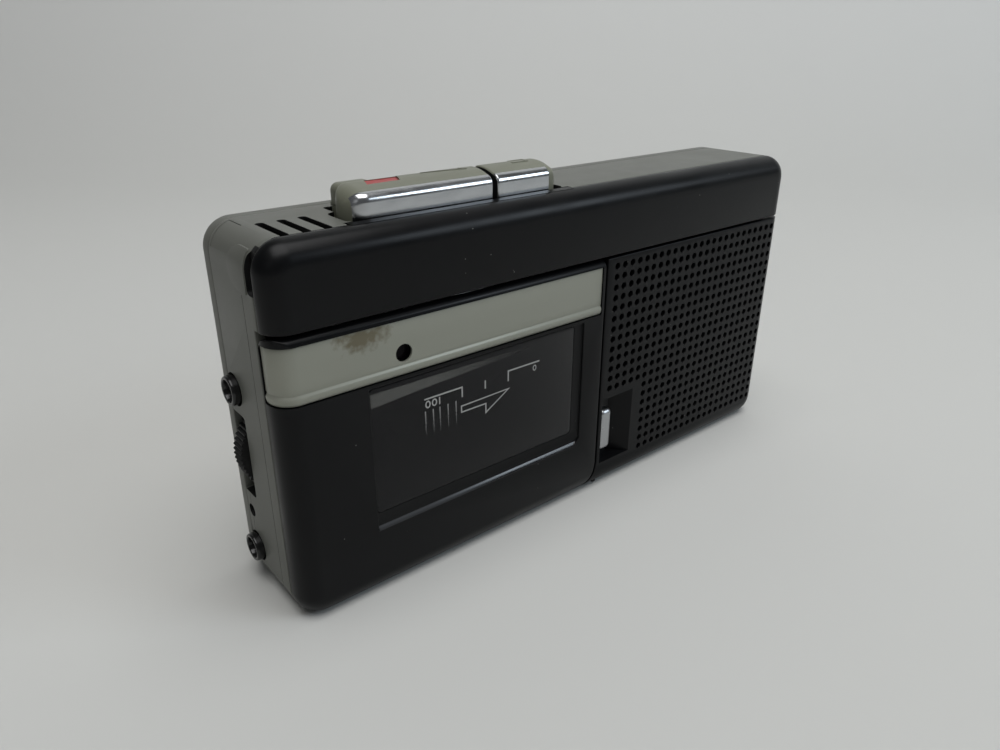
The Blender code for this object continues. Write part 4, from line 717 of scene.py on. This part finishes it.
def makeLid():
    right, top, back = pick(seams, "lidRight", "lidTop", "frontBack")
    lid = caseSkin("cassetteLid", (("X", right, -1), ("Z", top, -1), ("Y", back, -1)))
    thicken(lid, 1.5, 0)
    carve(lid, prism(topRoundOutline(), leftX - 2, right + 2, "X"))
    carve(lid, prism(seamOutline(0), frontY - 2, 0, "Y"), "INTERSECT")
    carve(lid, prism(reliefOutline(), leftX - 2, leftX + 3.5, "X"))
    carveWith(lid, windowDish())
    mergeShort(lid, 0.06)
    soften(lid, seams["edge"], 3, 40, clamp=False)
    bake(lid)
    carve(lid, prism(windowOutline(0), frontY - 1, frontY + 3, "Y"))
    carve(lid, prism(pocketOutline(), stripSize["bottom"] - 0.1, stripSize["top"] + 0.1, "Z"))
    (y, z), half = hinge, hingeSize["earHalf"]
    for low, high in hingeEars():
        weld(lid, boxForm((low, frontY + 1.2, z - half), (high, y + half, z + half), 0.2, 2))
    carve(lid, rodForm(hinge, leftX + 3, right - 3, "X", hingeSize["pin"] + 0.02))
    seat, tip = pick(hook, "seat", "tip")
    outline = [(seat, 11.5), (tip + 1, 11.5), (tip + 1, 14.0), (tip, 14.0), (tip, 13.1), (seat, 13.1)]
    weld(lid, prism(outline, hook["left"], hook["right"], "X"))
    carve(lid, rodForm(lamp["place"], frontY - 1, frontY + 3, "Y", lamp["hole"]))
    present(lid, "lid", "blackPlastic", ["cassette_lid"])
    # The crest below the window is worn smooth and shines
    dress(lid, "polishedEdge")
    for face in lid.data.polygons:
        x, y, z = face.center / millimetre
        level = -3.1 < z - windowSize["bottom"] < -2.2
        if level and y < frontY + 0.6 and face.normal.z > 0.12 and windowSize["left"] < x < 0:
            face.material_index = 1
    pin = pieceFrom(rodForm(hinge, -57, 1.5, "X", hingeSize["pin"], 24, 0.1), "hingePin")
    present(pin, "lid", "steel", ["lid_hinge_pin"])


def pocketOutline():
    # The strip's seat as X and Y: round the corner below the skin, and back outside it
    radius, depth = caseSize["frontRadius"], stripSize["recess"] + stripSize["thickness"] + 0.2
    right, back = stripSize["right"] + 0.1, stripSize["back"] + 0.2
    curve = arc((leftX + radius, frontY + radius), radius - depth, 3, 2, 12)
    outline = [(right, frontY - 2), (right, frontY + depth), *curve]
    return outline + [(leftX + depth, back), (leftX - 2, back), (leftX - 2, frontY - 2)]


def sweptStrip(profile, steps=14):
    # A profile of (inset, height) pushed along the front, turned round the corner and pushed on
    bm = bmesh.new()
    verts = [bm.verts.new((stripSize["right"], frontY + inset, z)) for inset, z in profile]
    edges = [bm.edges.new(pair) for pair in zip(verts, verts[1:])]
    corner = (leftX + caseSize["frontRadius"], frontY + caseSize["frontRadius"], 0)
    settings = {"axis": (0, 0, 1), "cent": corner, "angle": -math.pi / 2, "steps": steps}
    verts, edges = pushedEdges(bm, edges, (corner[0] - stripSize["right"], 0, 0))
    turned = bmesh.ops.spin(bm, geom=verts + edges, **settings)["geom_last"]
    edges = [item for item in turned if isinstance(item, bmesh.types.BMEdge)]
    pushedEdges(bm, edges, (0, stripSize["back"] - corner[1], 0))
    bmesh.ops.remove_doubles(bm, verts=bm.verts, dist=0.0005)
    bmesh.ops.recalc_face_normals(bm, faces=bm.faces)
    return bm


def makeStripPiece():
    bottom, top, flat = pick(stripSize, "bottom", "top", "recess")
    # The bead near the lower edge, as inset and height over the strip's foot
    bead = [(flat, 1.9), (flat + 0.08, 1.72), (flat + 0.08, 1.58), (flat + 0.02, 1.48), (0.08, 1.26), (0.03, 1.14)]
    bead += [(0.02, 0.95), (0.04, 0.75), (0.10, 0.45), (0.20, 0.15), (0.34, 0)]
    profile = [(flat, top), (flat, top - 3), (flat, bottom + 3)]
    form = sweptStrip(profile + [(inset, bottom + height) for inset, height in bead])
    front = min(form.faces, key=lambda face: face.calc_center_median().y)
    if front.normal.y > 0:
        bmesh.ops.reverse_faces(form, faces=form.faces[:])
    strip = pieceFrom(form, "lidStrip")
    thicken(strip, 0.36, 0.06, 2, 60)
    place, radius = pick(lamp, "place", "radius")
    carve(strip, rodForm(place, frontY - 1, frontY + 3, "Y", radius + 0.04))
    present(strip, "lid", "stripPaint", ["lid_strip"], 50)
    lens = pieceFrom(rodForm(place, frontY + 1.1, frontY + 2.0, "Y", radius - 0.02, 48, 0.2), "lampLens")
    present(lens, "lid", "lampLens", ["lamp_lens"])


def makeWindow():
    front = frontY + windowSize["recess"]
    pane = pieceFrom(prism(windowOutline(0.08), front, front + windowSize["thickness"], "Y"), "windowPane")
    soften(pane, 0.08, 2, 40)
    bake(pane)
    present(pane, "lid", "windowGlass", ["lid_window"])


markPlane = frontY + windowSize["recess"] - 0.02


def strokeForm(points, width, closed=False):
    # A drawn line of even width with mitred corners, as a thin film on the pane
    bm = bmesh.new()
    corners = [Vector(point) for point in points]
    last = len(corners) - 1
    sides = []
    for number, corner in enumerate(corners):
        pairs = []
        if number or closed:
            pairs.append((corners[number - 1], corner))
        if number < last or closed:
            pairs.append((corner, corners[(number + 1) % (last + 1)]))
        turns = [(second - first).normalized().orthogonal() for first, second in pairs]
        middle = sum(turns, Vector((0, 0))).normalized()
        reach = width / 2 / max(middle.dot(turns[0]), 0.35)
        both = (corner + middle * reach, corner - middle * reach)
        sides.append([bm.verts.new((point.x, markPlane, point.y)) for point in both])
    for first, second in zip(sides, sides[1:] + sides[:1] if closed else sides[1:]):
        bm.faces.new((first[0], second[0], second[1], first[1]))
    return bm


def ringPoints(x, z, across, up, steps=16):
    return [(x + across * a, z + up * b) for a, b in arc((0, 0), 1, 0, 4, steps)[:-1]]


def makeMarks():
    # Tape marks of the window: two brackets, a tick, an arrow, the numbers 100 and 0, and a fan of lines
    strokes = (
        ([(-35.7, 32.2), (-28.3, 32.2), (-28.3, 30.4)], 0.28),
        ([(-11.4, 32.3), (-18.5, 32.3), (-18.5, 30.4)], 0.28),
        ([(-23.5, 32.0), (-23.5, 30.5)], 0.28),
        ([(-28.5, 28.8), (-18.4, 29.0), (-23.4, 26.0), (-23.4, 27.7), (-28.5, 27.7)], 0.26, True),
        (ringPoints(-35.05, 31.2, 0.40, 0.55), 0.24, True),
        (ringPoints(-33.8, 31.2, 0.40, 0.55), 0.24, True),
        ([(-32.8, 30.55), (-32.8, 31.85)], 0.24),
        (ringPoints(-12.5, 31.25, 0.34, 0.46), 0.2, True),
    )
    lines = [([(x, 30.1), (x + 0.05, 25.6)], 0.22) for x in (-35.6, -34.1, -32.8, -31.2, -29.6)]
    # A grey band at the top left of the pane that fades to the right: a painted reflection
    film = bmesh.new()
    outline = [(-45.2, 33.6), (-38.0, 34.1), (-14.0, 35.2), (-14.0, 35.7), (-38.0, 35.85), (-45.2, 35.9)]
    film.faces.new([film.verts.new((x, markPlane, z)) for x, z in outline])
    marks = (
        ("windowMarks", "print", joined(*(strokeForm(*stroke) for stroke in strokes))),
        ("paintedReflectionFilm", "paintedReflectionBand", film),
        ("fadingMarks", "printFading", joined(*(strokeForm(*line) for line in lines))),
    )
    for name, look, form in marks:
        present(pieceFrom(form, name), "lid", look, ())


makeLid()
makeStripPiece()
makeWindow()
makeMarks()
say("lid")

# Keys

keySize = {"front": -6.05, "back": 0.55, "base": 57.9, "frontRadius": 3.2, "rearRadius": 3.0, "drop": 2.6, "arc": 1.45}
keyDepth = keySize["back"] - keySize["front"]
shoulder = 4.95
# Across a key: distance from its front as a share of its depth, and height over its base
keySection = [(0, 0), (0, 2.6), (0, shoulder)]
for turn in range(1, 9):
    angle = turn * math.pi / 18
    across = keySize["arc"] * (1 - math.cos(angle)) / keyDepth
    keySection.append((across, shoulder + keySize["arc"] * math.sin(angle)))
platedShare = keySection[-1][0] + 0.002
keySection += [(0.25, 6.52), (0.34, 6.72), (0.44, 6.90), (0.54, 7.03), (0.64, 7.11), (0.74, 7.14), (0.83, 7.13)]
keySection += [(0.90, 7.03), (0.95, 6.78), (0.985, 6.35), (1.0, 5.7), (1.0, 2.6), (1.0, 0)]


def drawnIn(distance, radius):
    # How far a rounded corner lies back at a distance from the end it belongs to
    if distance >= radius:
        return 0
    return radius - math.sqrt(radius**2 - (radius - max(distance, 0)) ** 2)


def keyEnds(distance, wide):
    # Front, back and drop of the key at a distance from an end, which is wide or close to the next key
    radii = (keySize[key] if wide else 0.35 for key in ("frontRadius", "rearRadius", "drop"))
    front, back, drop = (drawnIn(distance, radius) for radius in radii)
    return keySize["front"] + front, keySize["back"] - back, drop


def keyForm(left, right, roundLeft, roundRight):
    stations = []
    for end, direction, wide in ((left, 1, roundLeft), (right, -1, roundRight)):
        reach = keySize["frontRadius"] if wide else 0.35
        some = [(end + direction * reach * (1 - math.cos(math.pi / 2 * step / 20)), wide) for step in range(21)]
        stations += some[::direction]
    bm = bmesh.new()
    rings = []
    for x, wide in stations:
        front, back, drop = keyEnds(min(x - left, right - x), wide)
        ring = []
        for share, height in keySection:
            z = keySize["base"] + height - drop * min(1, height / shoulder)
            ring.append(bm.verts.new((x, front + share * (back - front), z)))
        rings.append([bm.edges.new(pair) for pair in zip(ring, ring[1:] + ring[:1])])
    for first, second in zip(rings, rings[1:]):
        bmesh.ops.bridge_loops(bm, edges=first + second)
    bmesh.ops.holes_fill(bm, edges=rings[0] + rings[-1], sides=0)
    bmesh.ops.recalc_face_normals(bm, faces=bm.faces)
    # Plating on the front and its rounding; the ends where the two keys meet get dark material as painted shade in the
    # gap
    plateLeft, plateRight = left + (0.75 if roundLeft else 0.05), right - (3.0 if roundRight else 0.05)
    for face in bm.faces:
        middle = face.calc_center_median()
        distance = min(middle.x - left, right - middle.x)
        wide = roundLeft if middle.x - left < right - middle.x else roundRight
        front, back, drop = keyEnds(distance, wide)
        share = (middle.y - front) / (back - front) if back > front else 0
        if share < platedShare and plateLeft < middle.x < plateRight:
            face.material_index = 1
        if distance < 0.04 and not wide:
            face.material_index = 2
    return bm


def keyTop(y):
    share = (y - keySize["front"]) / keyDepth
    for (lowShare, low), (highShare, high) in zip(keySection[3:], keySection[4:]):
        if lowShare <= share <= highShare:
            return keySize["base"] + low + (high - low) * (share - lowShare) / (highShare - lowShare)
    return keySize["base"]


def topPlate(outline, low, high):
    # A plate that follows the key's sloping top, between two heights over it
    bm = prism(outline, 0, 1, "Z")
    for vert in bm.verts:
        vert.co.z = keyTop(vert.co.y) + (high if vert.co.z > 0.5 else low)
    return bm


def makeKey(name, node, body, left, right, roundLeft, roundRight, forms):
    key = pieceFrom(keyForm(left, right, roundLeft, roundRight), name)
    dress(key, "satinKey", "chrome", "darkPlasticAndPaintedShade")
    for form, operation in forms:
        carve(key, form, operation)
    centre = (left + right) / 2
    weld(key, boxForm((centre - 4.5, -1.25, 51.6), (centre + 4.5, 0.75, 59.3), 0.15, 2))
    present(key, body, None, [node], 50)


redMark = [(-38.9, -2.95), (-33.2, -2.8), (-32.2, 0.0), (-37.9, 0.0)]
stopMark = [(-10.6, -2.1), (-7.6, -2.1), (-7.2, -0.3), (-10.0, -0.3)]
playMark = [(-28.0, -0.9), (-20.5, -1.9), (-20.5, 0.0)]


def grown(outline, amount):
    centre = Vector((sum(x for x, y in outline), sum(y for x, y in outline))) / len(outline)
    return [tuple(Vector(point) + (Vector(point) - centre).normalized() * amount) for point in outline]


def rimmed(outline, outside, inside):
    # A mark with a raised rim round a sunk middle
    rim = topPlate(grown(outline, outside), -0.3, 0.10)
    return [(rim, "UNION"), (topPlate(grown(outline, -inside), 0.0, 1.0), "DIFFERENCE")]


def makeKeys():
    forms = [(topPlate(redMark, -0.16, 1.0), "DIFFERENCE"), *rimmed(playMark, 0.35, 0.25)]
    makeKey("playKey", "play_key", "play", -43.5, -17.9, True, False, forms)
    paint = pieceFrom(topPlate(grown(redMark, -0.04), -0.35, -0.12), "redMark")
    carve(paint, topPlate(roundedOutline((-36.0, -1.0), (-34.0, -0.4), [0.28] * 4), -0.28, 1.0))
    present(paint, "play", "redPaint", ())
    makeKey("stopKey", "stop_key", "stop", -17.0, -3.1, False, True, rimmed(stopMark, 0.25, 0.15))


recordSize = {"low": (-41.5, 1.15, 53.9), "high": (-35.1, 4.35, 64.5), "edge": 1.2, "groove": (61.15, 61.4)}


def makeRecordButton():
    button = pieceFrom(boxForm(*pick(recordSize, "low", "high", "edge"), 8), "recordButton")
    # A fine groove round it, cut through and filled again inside
    low, high = recordSize["groove"]
    carve(button, boxForm((-43.0, 0, low), (-34.0, 6, high)))
    weld(button, boxForm((-41.3, 1.35, low - 0.15), (-35.3, 4.15, high + 0.2)))
    present(button, "record", "satinKey", ["record_button"])


makeKeys()
makeRecordButton()
say("keys")

# Sockets and volume dial in the left end


def makeSocket(name, node, z):
    y = socketPlaces["y"]
    profile = [(1.75, 12.2), (1.75, 0.25), (1.85, 0.06), (2.05, 0), (2.25, 0.05), (2.37, 0.22), (2.4, 0.45)]
    profile += [(2.4, 4.75), (2.0, 4.75)]
    ring = pieceFrom(lathe(profile, (leftX - 1.25, y, z), (1, 0, 0)), name)
    present(ring, "case", "socketPlastic", [node])
    floor = pieceFrom(rodForm((y, z), leftX + 10.2, leftX + 11.2, "X", 1.9, 32), name + "Floor")
    present(floor, "case", "darkPlasticAndPaintedShade", ())


def makeDial():
    x, y, z, radius, teeth = pick(dialPlace, "x", "y", "z", "radius", "teeth")
    points = arc((0, 0), 1, 0, 4, teeth * 4)[:-1]
    knurl = [radius - (0.0, 0.12, 0.42, 0.12)[number % 4] for number in range(teeth * 4)]
    outline = [(x + reach * a, z + reach * b) for reach, (a, b) in zip(knurl, points)]
    dial = pieceFrom(prism(outline, y - 1.5, y + 1.5, "Y"), "volumeDial")
    carve(dial, rodForm((x, z), y - 2, y + 2, "Y", 1.3, 32))
    present(dial, "dial", "darkPlasticAndPaintedShade", ["volume_dial"])


for level in ("upper", "lower"):
    makeSocket(level + "Socket", level + "_socket", socketPlaces[level])
makeDial()
say("left end")

# Screws, tape hubs, capstan and pinch roller

hubSize = {"places": (-36.0, -10.5), "z": 22.5, "tip": -4.45, "finReach": 2.2, "finWidth": 0.7}
capstanPlace, rollerPlace = (-11.35, 37.6), (-11.35, 43.7)


def makeScrews():
    profile = [(0, 0), (0.4, 0), (0.68, 0.5), (0.68, 6.2), (1.34, 6.2), (1.4, 6.28), (1.4, 6.55), (1.3, 6.78)]
    profile += [(1.0, 6.92), (0.5, 6.99), (0, 7.0)]
    for number, (x, z) in enumerate(screws, 1):
        screw = pieceFrom(lathe(profile, (x, backY - 7.2, z), (0, 1, 0), 40), f"caseScrew{number}")
        for wide, high in ((1.9, 0.42), (0.42, 1.9)):
            low = (x - wide / 2, backY - 0.85, z - high / 2)
            carve(screw, boxForm(low, (x + wide / 2, backY + 1, z + high / 2)))
        present(screw, "case", "steel", [f"case_screw_{number}"])


def makeHub(name, node, body, x):
    tip, half = hubSize["tip"], hubSize["finWidth"] / 2
    profile = [(0, 0), (0.5, 0.03), (0.85, 0.2), (1.1, 0.55), (1.2, 1.0), (1.2, 3.2), (1.45, 3.38), (3.8, 3.4)]
    profile += [(3.95, 3.46), (4.0, 3.6), (4.0, 4.0), (3.95, 4.14), (3.8, 4.2), (0.78, 4.2), (0.78, 6.2), (0, 6.3)]
    hub = pieceFrom(lathe(profile, (x, tip, hubSize["z"]), (0, 1, 0), 48), name)
    for number in range(3):
        fin = boxForm((0, tip + 0.7, -half), (hubSize["finReach"], -0.8, half), 0.14, 2)
        fin.transform(Matrix.Rotation(2 * math.pi * number / 3, 4, "Y"))
        fin.transform(Matrix.Translation((x, 0, hubSize["z"])))
        weld(hub, fin)
    present(hub, body, "whitePlastic", [node])


def makeTapeDrive():
    for side, x in zip(("supply", "takeup"), hubSize["places"]):
        makeHub(side + "Hub", side + "_spindle", side, x)
    capstan = pieceFrom(rodForm(capstanPlace, -6.55, 7.75, "Y", 0.75, 32, 0.2), "capstan")
    present(capstan, "capstan", "steel", ["capstan_shaft"])
    x, z = rollerPlace
    profile = [(1.0, 0.12), (1.12, 0), (2.75, 0), (2.93, 0.08), (3.0, 0.25), (3.0, 4.35), (2.93, 4.52), (2.75, 4.6)]
    profile += [(1.12, 4.6), (1.0, 4.48), (1.0, 0.12)]
    roller = pieceFrom(lathe(profile, (x, -6.05, z), (0, 1, 0), 48), "pinchRoller")
    present(roller, "roller", "rubber", ["pinch_roller"])


makeScrews()
makeTapeDrive()
say("screws and tape drive")

# The parts inside keep their shape and get their finish

insideLooks = {
    "steel": ("microphone_capsule", "deck_plate", "motor", "speaker_frame", "speaker_magnet"),
    "darkPlasticAndPaintedShade": ("volume_pot", "cassette_well", "amplifier_chip", "capacitor"),
    "rubber": ("microphone_grommet", "drive_belt"),
    "brass": ("flywheel", "motor_pulley"),
    "felt": ("dust_felt",),
    "paper": ("speaker_cone",),
    "board": ("circuit_board",),
}
insideLooks["steel"] += ("head_slide", "record_play_head", "erase_head", "pinch_arm")
insideLooks["steel"] += ("battery_contact_plus", "battery_contact_minus", "battery_contact_link")
for look, nodes in insideLooks.items():
    for node in nodes:
        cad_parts[node].data.materials.clear()
        dress(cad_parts[node], look)
say("inside parts")

# Studio, light and camera

# A floor that turns up into a wall, both pale, the wall's colour lighter upwards as painted light; sizes as elsewhere
# in millimetres
studio = {"wallY": 550, "cornerRadius": 250, "reach": 3000, "turn": -39.5}


def makeStudio():
    wallY, corner, reach = pick(studio, "wallY", "cornerRadius", "reach")
    profile = [(-reach, 0), *arc((wallY - corner, corner), corner, -1, 0, 12), (wallY, reach)]
    bm = bmesh.new()
    verts = [bm.verts.new((-reach, y, z)) for y, z in profile]
    pushedEdges(bm, [bm.edges.new(pair) for pair in zip(verts, verts[1:])], (2 * reach, 0, 0))
    bmesh.ops.recalc_face_normals(bm, faces=bm.faces)
    backdrop = pieceFrom(bm, "backdrop")
    backdrop.data.shade_smooth()
    backdrop.rotation_euler.z = math.radians(studio["turn"])
    tree, shader = newMaterial("backdropPaintedLight", (0.58, 0.58, 0.56), 0.9)
    # The colour grows lighter up the wall: painted light
    rise = alongAxis(tree, "Z", 0.0, 0.25, 0.0, 1.0)
    tone = ramp(tree, rise, [(0.0, (0.585, 0.585, 0.562)), (1.0, (0.78, 0.78, 0.765))])
    tree.links.new(tone, shader.inputs["Base Color"])
    dress(backdrop, "backdropPaintedLight")


def addLight(name, place, target, size, power, colour=(1, 1, 1)):
    data = bpy.data.lights.new(name, "AREA")
    data.shape = "RECTANGLE"
    data.size, data.size_y = size
    data.energy = power
    data.color = colour
    light = bpy.data.objects.new(name, data)
    light.location = place
    light.rotation_mode = "QUATERNION"
    light.rotation_quaternion = (Vector(target) - Vector(place)).to_track_quat("-Z", "Y")
    bpy.context.scene.collection.objects.link(light)


def makeCamera():
    data = bpy.data.cameras.new("photoCamera")
    data.lens = 27.57
    data.clip_start = 0.005
    camera = bpy.data.objects.new("photoCamera", data)
    # The rows are the camera's right, up and back
    turn = Matrix(((0.7725, -0.63501, 0.00232), (0.26142, 0.32136, 0.91016), (-0.57871, -0.70249, 0.41426)))
    camera.matrix_world = Matrix.Translation((-0.09507, -0.10140, 0.08559)) @ turn.transposed().to_4x4()
    bpy.context.scene.collection.objects.link(camera)
    bpy.context.scene.camera = camera


def makeRoom():
    # The room looks pale behind the floor, and lights the object only faintly
    world = bpy.data.worlds.new("room")
    world.use_nodes = True
    tree = world.node_tree
    sky = tree.nodes["Background"]
    sky.inputs["Color"].default_value = (0.94, 0.97, 1.0, 1)
    seen = addNode(tree, "LightPath", {}).outputs["Is Camera Ray"]
    tree.links.new(spread(tree, seen, 0, 1, 0.11, 0.52), sky.inputs["Strength"])
    bpy.context.scene.world = world


makeStudio()
addLight("ceilingLight", (-0.04, -0.2, 0.95), (0, 0, 0), (0.8, 0.8), 7.3)
addLight("sideLight", (-0.9, -0.5, 0.55), (0, 0, 0.03), (0.4, 0.4), 0.15, (0.98, 0.99, 1.0))
addLight("frontLight", (0.80, -0.85, 0.60), (0, 0, 0.04), (0.5, 0.4), 3.8, (0.80, 0.90, 1.0))
makeRoom()
makeCamera()
bpy.context.scene.view_settings.view_transform = "Standard"
say("studio")
